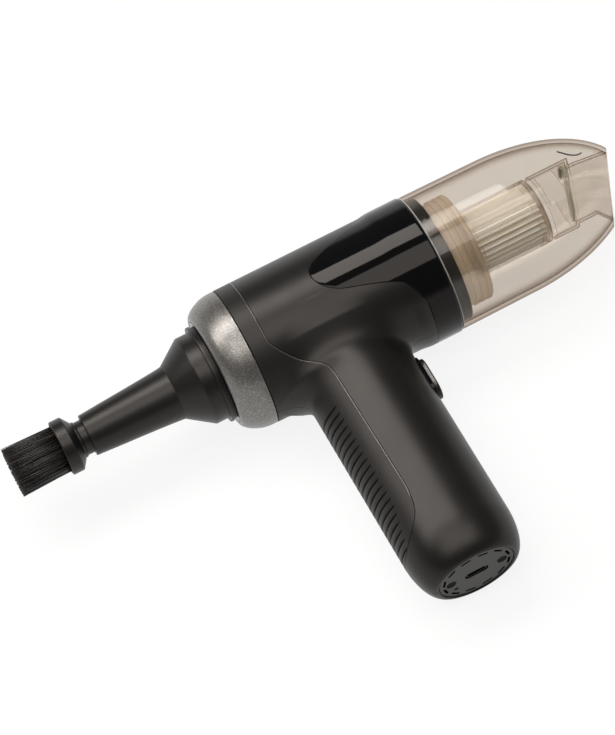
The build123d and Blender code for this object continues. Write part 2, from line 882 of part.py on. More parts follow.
def make_flap(parts):
    place = flap_pin_place()
    plane = flap_plane()
    disc = extrude(plane * Pos(0, flap_drop * mouth_down) * Circle(flap_radius), -flap_thickness)
    knuckle = crossbar(place.X, place.Z, -flap_knuckle_half, flap_knuckle_half, flap_knuckle_radius)
    web_height = flap_knuckle_radius + flap_knuckle_radius
    web = plane * Pos(0, -flap_pin_height * mouth_down, -flap_pin_back) * Box(
        flap_knuckle_half + flap_knuckle_half, web_height, flap_pin_back - flap_gap,
        align=(Align.CENTER, Align.CENTER, Align.MIN),
    )
    flap = disc + knuckle + web
    flap -= crossbar(place.X, place.Z, -flap_pin_half, flap_pin_half, flap_pin_radius + flap_pin_play)
    parts["inlet_flap"] = flap
    pin_end = flap_pin_half - flap_pin_play
    parts["flap_pin"] = crossbar(place.X, place.Z, -pin_end, pin_end, flap_pin_radius)


# Filter
def make_filter(parts):
    base = tube(filter_back, filter_neck_front, filter_neck_radius, filter_boss_radius + fit_gap)
    base += tube(filter_neck_front, filter_flange_front, filter_flange_radius, filter_bore)
    base -= tube(filter_back, bulkhead_back + bulkhead_thickness + filter_boss_length + fit_gap,
                 filter_boss_radius + fit_gap)
    groove = filter_neck_front + (filter_flange_front - filter_neck_front) * half
    base -= tube(groove, groove + cage_wall, filter_flange_radius, filter_flange_radius - cage_wall)
    parts["filter_base"] = base
    outer, inner = [], []
    for i in range(2 * pleat_count):
        turn = pi * i / pleat_count
        radius = pleat_outer if i % 2 else pleat_inner + pleat_sheet
        outer.append((radius * cos(turn), radius * sin(turn)))
        inner_radius = radius - pleat_sheet
        inner.append((inner_radius * cos(turn), inner_radius * sin(turn)))
    star = make_face(Polyline(*outer, close=True)) - make_face(Polyline(*inner, close=True))
    pleat_length = cage_end - filter_flange_front
    parts["filter_pleats"] = extrude(Plane.YZ.offset(filter_flange_front) * star, pleat_length)
    cage = tube(filter_flange_front, cage_end, cage_radius, cage_radius - cage_wall)
    slot_length = pleat_length - cage_slot_margin - cage_slot_margin
    for slot in around(cage_slots, lambda: Pos(filter_flange_front + cage_slot_margin, 0, cage_radius) * Box(
            slot_length, cage_slot_width, cage_radius * half, align=(Align.MIN, Align.CENTER, Align.CENTER))):
        cage -= slot
    parts["filter_cage"] = cage
    parts["filter_cap"] = turned(
        (cage_end, 0),
        (cage_end, cage_radius),
        (cap_end - cap_dome, cage_radius),
        (cap_end, cage_radius - cap_dome - cap_dome),
        (cap_end, 0),
    )


# Motor, fan and their carriers
def make_motor(parts):
    bearing_seat = bearing_radius + bearing_play
    can = tube(motor_back, motor_front, motor_radius)
    can += tube(motor_back - bearing_width * half, motor_front + bearing_width * half, motor_bell_radius)
    can -= tube(motor_back - bearing_width * half, motor_back + bearing_width * half, bearing_seat)
    can -= tube(motor_front - bearing_width * half, motor_front + bearing_width * half, bearing_seat)
    can -= tube(motor_back, motor_front, shaft_radius + bearing_width * half)
    can = fillet(can.edges().filter_by(GeomType.CIRCLE).group_by(SortBy.RADIUS)[-1], mount_inset * half)
    parts["motor_can"] = can
    for name, middle in (("rear_bearing", motor_back), ("front_bearing", motor_front)):
        parts[name] = tube(middle - bearing_width * half, middle + bearing_width * half,
                           bearing_radius, shaft_radius + bearing_play)
    parts["motor_shaft"] = tube(shaft_back, shaft_front, shaft_radius)
    for name, start in (("rear_motor_mount", motor_back + mount_inset),
                        ("front_motor_mount", motor_front - mount_inset - mount_width)):
        parts[name] = motor_mount(start)
    parts["fan"] = fan()
    shroud_out = spigot_radius
    shroud = tube(shroud_back, spigot_back - fit_gap, shroud_out, shroud_out - shroud_wall - shroud_wall)
    shroud += tube(spigot_back - fit_gap, bulkhead_back - fit_gap, spigot_radius - spigot_wall - fit_gap,
                   spigot_radius - spigot_wall - fit_gap - shroud_wall)
    shroud += tube(spigot_back - fit_gap - shroud_wall, spigot_back - fit_gap, shroud_out,
                   spigot_radius - spigot_wall - fit_gap - shroud_wall)
    shroud += tube(bulkhead_back - fit_gap - shroud_wall, bulkhead_back - fit_gap,
                   spigot_radius - spigot_wall - fit_gap, shroud_intake)
    parts["fan_shroud"] = shroud


def motor_mount(start):
    """Rubber ring between can and barrel, with windows for the air."""
    outer, inner = cavity_radius - fit_gap, motor_radius + fit_gap
    ring = tube(start, start + mount_width, outer, inner)
    window_mid = (outer + inner) * half
    window_width = 2 * pi * window_mid / mount_windows * mount_window_share
    windows = around(mount_windows, lambda: Pos(start, 0, window_mid) * Box(
        mount_width, window_width, outer - inner - mount_rim - mount_rim,
        align=(Align.MIN, Align.CENTER, Align.CENTER)))
    for window in windows:
        ring -= window
    return ring


def fan():
    """Backward-swept centrifugal fan."""
    wheel = tube(fan_back, fan_back + fan_disc, fan_radius) + tube(fan_back, fan_front, fan_hub)
    sweep = radians(fan_blade_sweep)
    middle = (fan_hub + fan_radius) * half
    inner, outer = fan_hub - fan_blade, fan_radius - fan_blade
    blade_line = ThreePointArc(
        (inner, 0),
        (middle * cos(sweep * half * half), middle * sin(sweep * half * half)),
        (outer * cos(sweep), outer * sin(sweep)),
    )
    blade = extrude(Plane.YZ.offset(fan_back + fan_disc * half) * trace(blade_line, fan_blade),
                    fan_front - fan_back - fan_disc * half)
    for copy in around(fan_blades, lambda: blade):
        wheel += copy
    return wheel - tube(fan_back, fan_front, shaft_radius + bearing_play)


# Handle's contents
def make_cells(parts):
    middle = handle_oval(cell_top + cell_length * half)[0] - cell_setback
    spread = cell_radius + cell_gap
    spots = [(middle + side * spread, 0) for side in (-1, 1)]
    parts["battery_cells"] = [upright(x, y, cell_bottom, cell_length, cell_radius) for x, y in spots]
    holder_depth = spread + cell_radius + holder_margin - cell_gap
    plate = SlotOverall(2 * holder_depth, 2 * (cell_radius + holder_margin))
    top = extrude(Pos(middle, 0, -cell_top) * plate, holder_thickness)
    bottom = extrude(Pos(middle, 0, -cell_bottom - holder_thickness) * plate, holder_thickness)
    rails = [
        Pos(middle, side * (cell_radius + holder_margin), -cell_bottom - holder_thickness)
        * Box(spread, holder_rail, cell_length + 2 * holder_thickness,
              align=(Align.CENTER, Align.MAX if side > 0 else Align.MIN, Align.MIN))
        for side in (-1, 1)
    ]
    grown = [upright(x, y, cell_bottom, cell_length, cell_radius + fit_gap) for x, y in spots]
    parts["cell_holder"] = (top + bottom + rails) - grown


def make_boards(parts):
    foot = handle_oval(handle_reach)[0]
    board_bottom = charge_board_top + board_thickness
    board = Pos(foot, 0, -board_bottom) * Box(
        charge_board_depth, charge_board_width, board_thickness, align=(Align.CENTER, Align.CENTER, Align.MIN)
    )
    parts["charge_board"] = board
    shell = socket_bar(foot, board_bottom, socket_length, socket_width, socket_height)
    bore_drop = board_bottom + socket_wall
    bore_length = socket_length - socket_wall
    shell -= socket_bar(foot, bore_drop, bore_length, socket_width - 2 * socket_wall,
                        socket_height - 2 * socket_wall)
    tongue_length_down = bore_length * half
    shell += Pos(foot, 0, -bore_drop) * Box(
        socket_width - socket_height, socket_tongue, tongue_length_down,
        align=(Align.CENTER, Align.CENTER, Align.MAX),
    )
    parts["charge_socket"] = shell
    centre, half_depth, half_width = handle_oval(control_board_top, barrel_wall + fit_gap)
    board_width = 2 * half_width * sqrt(1 - ((switch_back - centre) / half_depth) ** 2)
    board = Pos(switch_back, 0, -control_board_top) * Box(
        board_thickness, board_width, control_board_height, align=(Align.MAX, Align.CENTER, Align.MAX)
    )
    parts["control_board"] = board
    switch = Pos(switch_back, 0, -button_drop) * Box(
        switch_height, switch_side, switch_side, align=(Align.MIN, Align.CENTER, Align.CENTER)
    )
    stem_back = switch_back + switch_height
    stem = Pos(0, 0, -button_drop) * tube(stem_back, stem_back + switch_stem, switch_stem_radius)
    parts["power_switch"] = switch + stem


def socket_bar(x, drop, length, width, height):
    return extrude(Pos(x, 0, -drop) * stadium(width, height), -length)


def make_button(parts):
    inner_height = button_height - button_play - button_play
    inner_width = button_width - button_play - button_play
    flange_span = button_flange + button_flange
    cap = button_bar(button_back, button_face, inner_height, inner_width)
    front_face = cap.faces().sort_by(Axis.X)[-1]
    cap = chamfer(front_face.edges(), button_edge_round)
    cap += button_bar(button_back, button_back + button_flange_thickness,
                      button_height + flange_span, button_width + flange_span)
    trim_front = button_face - button_trim_inset
    trim_back = trim_front - button_trim_depth
    trim_tool = button_bar(trim_back, trim_front, button_height, button_width)
    trim_core = button_bar(trim_back, trim_front, inner_height - flange_span, inner_width - flange_span)
    reach = Pos(trim_back, 0, -button_drop + inner_height * half) * Box(
        button_trim_depth, button_width, inner_height * button_trim_share,
        align=(Align.MIN, Align.CENTER, Align.MAX),
    )
    band = (trim_tool - trim_core) & reach
    parts["button_cap"] = cap - band
    parts["button_trim"] = (cap & band)
    bezel = button_bar(bezel_back, bezel_front, button_height + bezel_span, button_width + bezel_span)
    bezel -= button_bar(bezel_back, bezel_front, button_height, button_width)
    parts["button_bezel"] = bezel


# Base plate of the handle
def vent_places():
    half_depth = plate_depth * half - vent_ring_inset
    half_width = plate_width * half - vent_ring_inset
    places = []
    for i in range(vent_count):
        turn = full_turn * (i + half) / vent_count
        x, y = half_depth * cos(radians(turn)), half_width * sin(radians(turn))
        places.append((x, y, turn + quarter_turn))
    return places


def make_base(parts):
    foot = handle_oval(handle_reach)[0]
    plate = plate_bar(plate_face, plate_thickness, plate_depth, plate_width)
    for x, y, turn in vent_places():
        plate -= extrude(Pos(foot + x, y, -plate_face) * Rot(0, 0, turn) * stadium(vent_length, vent_width),
                         plate_thickness)
    slot = stadium(charge_slot_length, charge_slot_width)
    plate -= extrude(Pos(foot, 0, -plate_face) * slot, plate_thickness)
    screws = []
    for x, _ in base_screw_places():
        plate -= upright(x, 0, plate_face, base_screw_head_depth + fit_gap, base_screw_head + screw_play)
        plate -= upright(x, 0, plate_face, plate_thickness, base_screw_radius + screw_play)
        head_drop = plate_face - fit_gap
        screw = upright(x, 0, head_drop, base_screw_head_depth, base_screw_head)
        screw += upright(x, 0, head_drop, base_screw_length, base_screw_radius)
        screws.append(screw)
    plate -= upright(foot + led_along, led_across, plate_face, plate_thickness, led_radius + screw_play)
    parts["base_plate"] = plate
    parts["base_screws"] = screws
    parts["status_light"] = upright(foot + led_along, led_across, plate_face, plate_thickness, led_radius)


# Laid on its side, as the object rests: the collar and the end of the handle touch down
def resting_roll():
    rolls = []
    for drop in handle_drops(handle_reach):
        if drop > flare_rear_start:
            half_width = handle_oval(drop)[2]
            rolls.append(asin((rim_radius + panel_proud) / hypot(drop, half_width)) - atan(half_width / drop))
    return degrees(min(rolls))


def lay_down(parts):
    turn = Rot(resting_roll() - quarter_turn, 0, 0)
    laid = {}
    for name, shape in parts.items():
        pieces = shape if isinstance(shape, list) else [shape]
        solids = [turn * solid for piece in pieces for solid in piece.solids()]
        laid[name] = Compound(children=solids) if len(solids) > 1 else solids[0]
    boxes = [shape.bounding_box() for shape in laid.values()]
    low = [min(getattr(box.min, side) for box in boxes) for side in ("X", "Y", "Z")]
    high = [max(getattr(box.max, side) for box in boxes) for side in ("X", "Y")]
    shift = Pos(-(low[0] + high[0]) * half, -(low[1] + high[1]) * half, -low[2])
    print("moved by", shift.position, "turned by", resting_roll() - quarter_turn)
    return {name: shift * shape for name, shape in laid.items()}


def main():
    parts = {}
    makers = (make_housing, make_grip, make_panels, make_outlet, make_nozzle, make_brush, make_spigot,
              make_cup, make_flap, make_filter, make_motor, make_cells, make_boards, make_button, make_base)
    for maker in makers:
        maker(parts)
    os.makedirs("parts", exist_ok=True)
    for name, shape in lay_down(parts).items():
        export_step(shape, os.path.join("parts", name + ".step"))


main()
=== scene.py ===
"""Looks of a handheld vacuum cleaner that lies on its side: housing, grip, clear cup, nozzle and brush.

Sizes are in millimetres on the upright drawing: X runs along the barrel towards the cup and the
handle hangs down -Z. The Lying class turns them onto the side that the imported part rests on.
"""
import logging
import math
from dataclasses import dataclass, field
from enum import Enum
from typing import Any, Sequence

import bmesh
import bpy
import numpy as np
from mathutils import Matrix, Vector


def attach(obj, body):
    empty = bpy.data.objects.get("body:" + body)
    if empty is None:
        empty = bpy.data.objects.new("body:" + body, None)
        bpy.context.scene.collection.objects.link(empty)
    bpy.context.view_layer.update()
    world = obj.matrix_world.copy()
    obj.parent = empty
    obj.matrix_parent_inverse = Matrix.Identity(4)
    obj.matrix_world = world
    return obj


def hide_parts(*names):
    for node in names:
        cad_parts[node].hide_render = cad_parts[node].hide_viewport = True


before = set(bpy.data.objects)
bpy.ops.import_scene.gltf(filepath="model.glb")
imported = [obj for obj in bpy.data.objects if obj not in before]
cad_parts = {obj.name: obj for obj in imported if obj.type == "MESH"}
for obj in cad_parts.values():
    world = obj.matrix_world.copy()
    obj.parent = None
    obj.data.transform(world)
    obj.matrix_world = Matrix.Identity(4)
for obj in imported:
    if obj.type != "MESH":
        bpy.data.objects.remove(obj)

LOG = logging.getLogger("vacuum_cleaner")
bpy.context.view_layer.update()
Points = np.ndarray
Faces = list[tuple[int, ...]]
Curve = Sequence[tuple[float, float]]
Colour = tuple[float, float, float]
Piece = bpy.types.Object


class Body(Enum):
    """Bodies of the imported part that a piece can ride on."""

    MAIN = "main_body"
    CUP = "cup"
    FLAP = "flap"
    FILTER = "filter"
    NOZZLE = "nozzle"
    BRUSH = "brush"
    BUTTON = "button"


@dataclass(frozen=True)
class Lying:
    """Turns the upright drawing in millimetres onto its side and into metres, and back."""

    turn: float = math.radians(-85.26554054)
    shift: tuple[float, float, float] = (-48.1408, 52.3034, 30.7)

    def direction(self, vector: Sequence[float]) -> Vector:
        """Returns a direction of the drawing in the part's frame."""
        return Matrix.Rotation(self.turn, 3, "X") @ Vector(vector)

    def spun(self, rows: Points, angle: float) -> Points:
        """Returns rows of x, y, z turned about X."""
        c, s = math.cos(angle), math.sin(angle)
        x, y, z = rows.T
        return np.stack([x, y * c - z * s, y * s + z * c], axis=1)

    def points(self, drawn: Points) -> Points:
        """Returns drawn rows in the part's frame."""
        return (self.spun(drawn, self.turn) + np.array(self.shift)) / 1000.0

    def drawn(self, placed: Points) -> Points:
        """Returns rows of the part's frame on the drawing."""
        return self.spun(placed * 1000.0 - np.array(self.shift), -self.turn)


LYING = Lying()


# Node trees


class Term:
    """A node's output that takes part in Python sums, each of which adds a Math node."""

    def __init__(self, graph: "Graph", socket: Any) -> None:
        """Keeps the socket and the graph that owns it."""
        self.graph = graph
        self.socket = socket

    def sum(self, operation: str, *others: Any) -> "Term":
        """Returns a Math node's result on this output and the others."""
        return self.graph.term("ShaderNodeMath", {"operation": operation}, self, *others)

    def __add__(self, other: Any) -> "Term":
        """Returns self + other."""
        return self.sum("ADD", other)

    def __sub__(self, other: Any) -> "Term":
        """Returns self - other."""
        return self.sum("SUBTRACT", other)

    def __rsub__(self, other: Any) -> "Term":
        """Returns other - self."""
        return (self * -1.0) + other

    def __mul__(self, other: Any) -> "Term":
        """Returns self * other."""
        return self.sum("MULTIPLY", other)

    def __truediv__(self, other: Any) -> "Term":
        """Returns self / other."""
        return self.sum("DIVIDE", other)

    def step(self, low: float, high: float) -> "Term":
        """Returns a smooth rise from 0 at low to 1 at high."""
        settings = {"interpolation_type": "SMOOTHSTEP", "clamp": True}
        return self.graph.term("ShaderNodeMapRange", settings, self, low, high, 0.0, 1.0)


class Graph:
    """Node tree with short ways to add its nodes."""

    def __init__(self, tree: Any) -> None:
        """Keeps the tree."""
        self.tree = tree

    def node(self, kind: str, settings: dict[str, Any], *inputs: Any, **named: Any) -> Any:
        """Adds a node.

        Args:
            kind: the node's type.
            settings: its own settings, set first.
            inputs: values or links for its sockets in order, None to skip one.
            named: values or links by socket name, with _ for a space.

        Returns:
            The node.
        """
        made = self.tree.nodes.new(kind)
        for key, value in settings.items():
            setattr(made, key, value)
        for socket, value in zip(made.inputs, inputs):
            self.feed(socket, value)
        for key, value in named.items():
            self.feed(made.inputs[key.replace("_", " ")], value)
        return made

    def term(self, kind: str, settings: dict[str, Any], *inputs: Any, out: Any = 0, **named: Any) -> Term:
        """Adds a node as node does and returns its output by number or name."""
        return Term(self, self.node(kind, settings, *inputs, **named).outputs[out])

    def feed(self, socket: Any, value: Any) -> None:
        """Sets a socket's value, or links it, or leaves it alone for None."""
        if isinstance(value, Term):
            self.tree.links.new(value.socket, socket)
        elif isinstance(value, tuple) and socket.type == "RGBA":
            socket.default_value = (*value, 1.0)
        elif value is not None:
            socket.default_value = value


class Recipe(Graph):
    """Node tree of one material, or of the world."""

    def __init__(self, name: str, world: bool = False) -> None:
        """Makes an empty material or world of that name."""
        self.world = world
        self.material = bpy.data.worlds.new(name) if world else bpy.data.materials.new(name)
        self.material.use_nodes = True
        super().__init__(self.material.node_tree)
        self.tree.nodes.clear()
        self.place = self.term("ShaderNodeTexCoord", {}, out="Generated" if world else "Object")

    def noise(self, scale: float, detail: float = 3.0, stretch: Colour | None = None) -> Term:
        """Returns noise on object coordinates, its scale in blobs per metre."""
        place = self.term("ShaderNodeMapping", {}, self.place, None, None, stretch) if stretch else self.place
        return self.term("ShaderNodeTexNoise", {}, place, Scale=scale, Detail=detail)

    def flakes(self, scale: float) -> Term:
        """Returns the random value of each cell of a fine cell pattern."""
        cells = self.term("ShaderNodeTexVoronoi", {"feature": "F1"}, self.place, Scale=scale, out="Color")
        return self.term("ShaderNodeSeparateColor", {}, cells)

    def blend(self, share: Term, first: Colour, second: Colour) -> Term:
        """Returns the colour between two colours at a share."""
        inputs = (share, None, None, None, None, None, first, second)
        return self.term("ShaderNodeMix", {"data_type": "RGBA"}, *inputs, out=2)

    def bump(self, height: Term, strength: float, distance: float) -> Term:
        """Returns a normal raised by height, its distance in metres."""
        return self.term("ShaderNodeBump", {}, Strength=strength, Distance=distance, Height=height)

    def surface(self, **sockets: Any) -> Term:
        """Returns a Principled shader with those sockets."""
        return self.term("ShaderNodeBsdfPrincipled", {}, **sockets)

    def mix(self, share: Term, first: Term, second: Term) -> Term:
        """Returns the shader between two shaders at a share."""
        return self.term("ShaderNodeMixShader", {}, share, first, second)

    def rays(self, *kinds: str) -> Term:
        """Returns 1 for the kinds of ray that are named, such as Camera, and 0 for others."""
        path = self.node("ShaderNodeLightPath", {})
        first, *others = (Term(self, path.outputs[f"Is {kind} Ray"]) for kind in kinds)
        return sum(others, first)

    def done(self, shader: Term) -> Any:
        """Links the shader to the output and returns the material or the world."""
        self.node("ShaderNodeOutputWorld" if self.world else "ShaderNodeOutputMaterial", {}, shader)
        return self.material


# Finishes


@dataclass(frozen=True)
class Look:
    """A named material, whose shader each kind of look builds in its own way."""

    name: str

    def shader(self, recipe: Recipe) -> Term:
        """Returns the shader, built in the recipe."""
        raise NotImplementedError

    def make(self) -> bpy.types.Material:
        """Returns the material."""
        recipe = Recipe(self.name)
        return recipe.done(self.shader(recipe))


@dataclass(frozen=True)
class MouldedPlastic(Look):
    """Opaque moulded plastic: faint mottle, fine grain and a little rub wear in its sheen."""

    colour: Colour
    mottle: Colour
    roughness: float = 0.5
    spread: float = 0.12
    grain: float = 0.12
    coat: float = 0.0
    coat_roughness: float = 0.04
    specular: float = 0.5
    tone: Colour = (1.0, 1.0, 1.0)
    grain_scale: float = 5200.0

    def shader(self, recipe: Recipe) -> Term:
        """Returns the shader."""
        return recipe.surface(
            Base_Color=recipe.blend(recipe.noise(38.0, 4.0).step(0.3, 0.75), self.colour, self.mottle),
            Roughness=recipe.noise(95.0) * self.spread + (self.roughness - self.spread * 0.5),
            Normal=recipe.bump(recipe.noise(self.grain_scale, 2.0), self.grain, 0.00004),
            Coat_Weight=self.coat,
            Coat_Roughness=self.coat_roughness,
            Specular_IOR_Level=self.specular,
            Specular_Tint=self.tone,
        )


@dataclass(frozen=True)
class SparklePaint(Look):
    """Metallic paint with fine bright flakes, as on the outlet ring."""

    dark: Colour = (0.155, 0.147, 0.138)
    bright: Colour = (0.40, 0.385, 0.36)
    flake_scale: float = 4600.0
    roughness: float = 0.34
    metallic: float = 0.9
    coat: float = 0.12
    coat_roughness: float = 0.2

    def shader(self, recipe: Recipe) -> Term:
        """Returns the shader."""
        flakes = recipe.flakes(self.flake_scale)
        return recipe.surface(
            Base_Color=recipe.blend(flakes.step(0.62, 1.0) * 0.75, self.dark, self.bright),
            Roughness=recipe.noise(900.0) * 0.05 + self.roughness,
            Normal=recipe.bump(flakes, 0.22, 0.00003),
            Metallic=self.metallic,
            Coat_Weight=self.coat,
            Coat_Roughness=self.coat_roughness,
        )


@dataclass(frozen=True)
class Metal(Look):
    """Bare metal with fine turning marks along one axis."""

    colour: Colour = (0.6, 0.59, 0.57)
    worn: Colour = (0.45, 0.44, 0.42)
    roughness: float = 0.3
    marks: Colour = (9.0, 1.0, 1.0)

    def shader(self, recipe: Recipe) -> Term:
        """Returns the shader."""
        marks = recipe.noise(900.0, 2.0, self.marks)
        return recipe.surface(
            Base_Color=recipe.blend(recipe.noise(60.0).step(0.35, 0.7), self.colour, self.worn),
            Roughness=marks * 0.18 + self.roughness,
            Normal=recipe.bump(marks, 0.15, 0.00003),
            Metallic=1.0,
        )


@dataclass(frozen=True)
class TintedClear(Look):
    """Clear tinted plastic: light passes straight through and the gloss rises towards the edges."""

    tint: Colour = (0.915, 0.890, 0.860)
    edge: Colour = (0.52, 0.44, 0.37)
    gloss: Colour = (0.05, 0.042, 0.035)
    roughness: float = 0.02
    body: float = 0.04
    rim: float = 0.14
    haze: float = 0.02
    mirror: float = 2.4
    edge_from: float = 0.45

    def shader(self, recipe: Recipe) -> Term:
        """Returns the shader."""
        facing = recipe.term("ShaderNodeLayerWeight", {}, Blend=0.5, out="Facing")
        tint = recipe.blend(facing.step(self.edge_from, 1.0), self.tint, self.edge)
        smudge = recipe.noise(70.0, 4.0)
        skin = recipe.surface(
            Base_Color=recipe.blend(smudge * 0.4, self.gloss, self.edge),
            Roughness=smudge * 0.05 + self.roughness,
            IOR=self.mirror,
            Specular_IOR_Level=1.0,
        )
        share = facing.sum("POWER", 4.0) * self.rim + smudge * self.haze + self.body
        through = recipe.term("ShaderNodeBsdfTransparent", {}, tint)
        return recipe.mix(share, through, skin)


@dataclass(frozen=True)
class FilterPaper(Look):
    """Off-white pleated filter paper with fibres and dusty patches."""

    colour: Colour = (0.97, 0.96, 0.91)
    dusty: Colour = (0.93, 0.90, 0.81)
    sheen: float = 0.2
    glow_through: float = 0.35
    glow_reach: Colour = (0.003, 0.0025, 0.0018)

    def shader(self, recipe: Recipe) -> Term:
        """Returns the shader."""
        fibres = recipe.noise(1500.0, 5.0, (0.25, 1.0, 1.0))
        dust = (fibres * 0.6 + recipe.noise(160.0) * 0.5).step(0.3, 0.85)
        return recipe.surface(
            Base_Color=recipe.blend(dust, self.colour, self.dusty),
            Roughness=fibres * 0.1 + 0.85,
            Normal=recipe.bump(fibres, 0.5, 0.0001),
            Sheen_Weight=self.sheen,
            Subsurface_Weight=self.glow_through,
            Subsurface_Radius=self.glow_reach,
            Subsurface_Scale=1.0,
        )


@dataclass(frozen=True)
class BristleFibre(Look):
    """Dark nylon bristle with a lighter, browner tint on some strands."""

    colour: Colour = (0.008, 0.007, 0.0065)
    light: Colour = (0.075, 0.058, 0.046)

    def shader(self, recipe: Recipe) -> Term:
        """Returns the shader."""
        strands = recipe.noise(1700.0, 1.0, (0.06, 1.0, 1.0))
        colour = recipe.blend(strands.step(0.5, 0.8), self.colour, self.light)
        normal = recipe.bump(strands, 0.2, 0.0001)
        return recipe.surface(Base_Color=colour, Roughness=strands * 0.2 + 0.3, Normal=normal)


@dataclass(frozen=True)
class CircuitBoard(Look):
    """Green board with a faint copper net under its mask."""

    mask: Colour = (0.01, 0.11, 0.045)
    track: Colour = (0.10, 0.30, 0.12)

    def shader(self, recipe: Recipe) -> Term:
        """Returns the shader."""
        settings = {"feature": "DISTANCE_TO_EDGE"}
        tracks = recipe.term("ShaderNodeTexVoronoi", settings, recipe.place, Scale=420.0)
        colour = recipe.blend(tracks.step(0.04, 0.09), self.track, self.mask)
        return recipe.surface(Base_Color=colour, Roughness=recipe.noise(200.0) * 0.1 + 0.3)


WARM: Colour = (1.0, 0.93, 0.875)


class Finish(Enum):
    """Finishes of the cleaner's pieces."""

    SOFT_TOUCH = MouldedPlastic("soft_touch_black", (0.0045, 0.0043, 0.0042), (0.0058, 0.0055, 0.0053),
                                0.36, 0.07, 0.16, specular=0.33, tone=WARM)
    GRIP = MouldedPlastic("grip_rubber", (0.0058, 0.0055, 0.0055), (0.0076, 0.0072, 0.0072),
                          0.44, 0.12, 0.22, specular=0.36, tone=WARM)
    EDGE = MouldedPlastic("polished_edge", (0.02, 0.019, 0.018), (0.03, 0.028, 0.026),
                          0.3, 0.08, 0.0, 1.0, 0.25, 1.0, WARM)
    GLOSS = MouldedPlastic("piano_black", (0.002, 0.002, 0.0024), (0.0027, 0.0027, 0.003),
                           0.06, 0.03, 0.0, specular=0.19, tone=WARM)
    NOZZLE = MouldedPlastic("nozzle_black", (0.0045, 0.0044, 0.0044), (0.006, 0.0058, 0.0058),
                            0.37, 0.1, 0.3, specular=0.36, tone=WARM)
    INNER_BLACK = MouldedPlastic("inner_black", (0.004, 0.004, 0.004), (0.005, 0.005, 0.005), 0.22, 0.08, 0.1)
    GUNMETAL = SparklePaint("gunmetal_paint")
    SMOKED = TintedClear("smoked_cup")
    CLEAR = TintedClear("clear_duct", (0.985, 0.977, 0.965), (0.40, 0.30, 0.22),
                        body=0.03, rim=0.08, edge_from=0.62)
    AMBER = TintedClear("amber_seal", (0.94, 0.90, 0.84), (0.78, 0.67, 0.54), (0.66, 0.56, 0.44),
                        0.3, 0.34, 0.06, mirror=1.5)
    FLAP = TintedClear("flap_silicone", (0.84, 0.84, 0.79), (0.60, 0.60, 0.54), (0.55, 0.55, 0.49),
                       0.3, 0.42, 0.4, mirror=1.45)
    PAPER = FilterPaper("pleated_paper")
    STEEL = Metal("plain_steel")
    BRIGHT = Metal("satin_band", (0.105, 0.10, 0.095), (0.075, 0.071, 0.067), 0.32, (1.0, 1.0, 6.0))
    # Near-black, barely reflective screw heads: painted shade, standing in for the dark wells round the
    # foot's screws.
    PAINTED_WELL_SHADE = MouldedPlastic("screw_well_painted_shade", (0.004, 0.004, 0.004), (0.007, 0.007, 0.007),
                               0.42, 0.1, 0.1, specular=0.02)
    NOTCH = MouldedPlastic("smoked_notch", (0.02, 0.015, 0.012), (0.03, 0.022, 0.018),
                           0.25, 0.06, 0.0, specular=0.4)
    SOCKET = Metal("dark_nickel", (0.07, 0.067, 0.064), (0.05, 0.048, 0.046), 0.38)
    CAN = Metal("can_steel", (0.42, 0.42, 0.43), (0.34, 0.34, 0.35), 0.35)
    RUBBER = MouldedPlastic("soft_rubber", (0.010, 0.010, 0.010), (0.016, 0.016, 0.016), 0.7, 0.15, 0.3)
    GREY = MouldedPlastic("grey_moulding", (0.10, 0.10, 0.105), (0.13, 0.13, 0.135), 0.5, 0.1)
    CELL = MouldedPlastic("cell_sleeve", (0.03, 0.13, 0.28), (0.04, 0.16, 0.33), 0.25, 0.06, 0.03)
    BOARD = CircuitBoard("circuit_board")
    LENS = MouldedPlastic("lamp_lens", (0.006, 0.006, 0.0065), (0.009, 0.009, 0.010),
                          0.3, 0.05, 0.02, specular=0.01)
    # Light grey rim ring: a painted highlight, the gleam along the clear cup's rear edge put into the colour.
    RIM_PAINTED_HIGHLIGHT = MouldedPlastic("cup_rim_painted_highlight", (0.30, 0.29, 0.275), (0.38, 0.365, 0.35), 0.2, 0.06, 0.02)
    BRISTLE = BristleFibre("bristle_fibre")

    def material(self) -> bpy.types.Material:
        """Returns the finish's one material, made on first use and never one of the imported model's."""
        if self not in MADE:
            MADE[self] = self.value.make()
        return MADE[self]


MADE: dict[Finish, bpy.types.Material] = {}


# Curves and meshes


def angles(count: int) -> Points:
    """Returns that many even angles round a full turn."""
    return np.linspace(0, 2 * math.pi, count, endpoint=False)


def around(x: Any, radius: Any, turn: Points) -> Points:
    """Returns points round the barrel's axis, x and radius being numbers or one for each angle."""
    return np.stack([x + 0 * turn, radius * np.cos(turn), radius * np.sin(turn)], axis=1)


def smooth_rise(x: Any, low: float, high: float) -> Any:
    """Returns a smooth rise from 0 at low to 1 at high."""
    share = np.clip((np.asarray(x, float) - low) / (high - low), 0, 1)
    return share * share * (3 - 2 * share)


def eased(profile: Sequence[tuple[float, float, float]], steps: int = 4) -> Curve:
    """Rounds the corners of an outline.

    Args:
        profile: corners as x, radius and the length that the rounding takes off each side.
        steps: points in each rounding.

    Returns:
        The outline's points.
    """
    points: list[tuple[float, float]] = []
    for i, (x, r, ease) in enumerate(profile):
        if ease <= 0:
            points.append((x, r))
            continue
        corner = np.array((x, r))
        before, after = np.array(profile[i - 1][:2]), np.array(profile[(i + 1) % len(profile)][:2])
        start = corner + (before - corner) / np.linalg.norm(before - corner) * ease
        end = corner + (after - corner) / np.linalg.norm(after - corner) * ease
        for t in np.linspace(0, 1, steps + 1):
            point = start * (1 - t) ** 2 + corner * 2 * t * (1 - t) + end * t**2
            points.append((float(point[0]), float(point[1])))
    return points


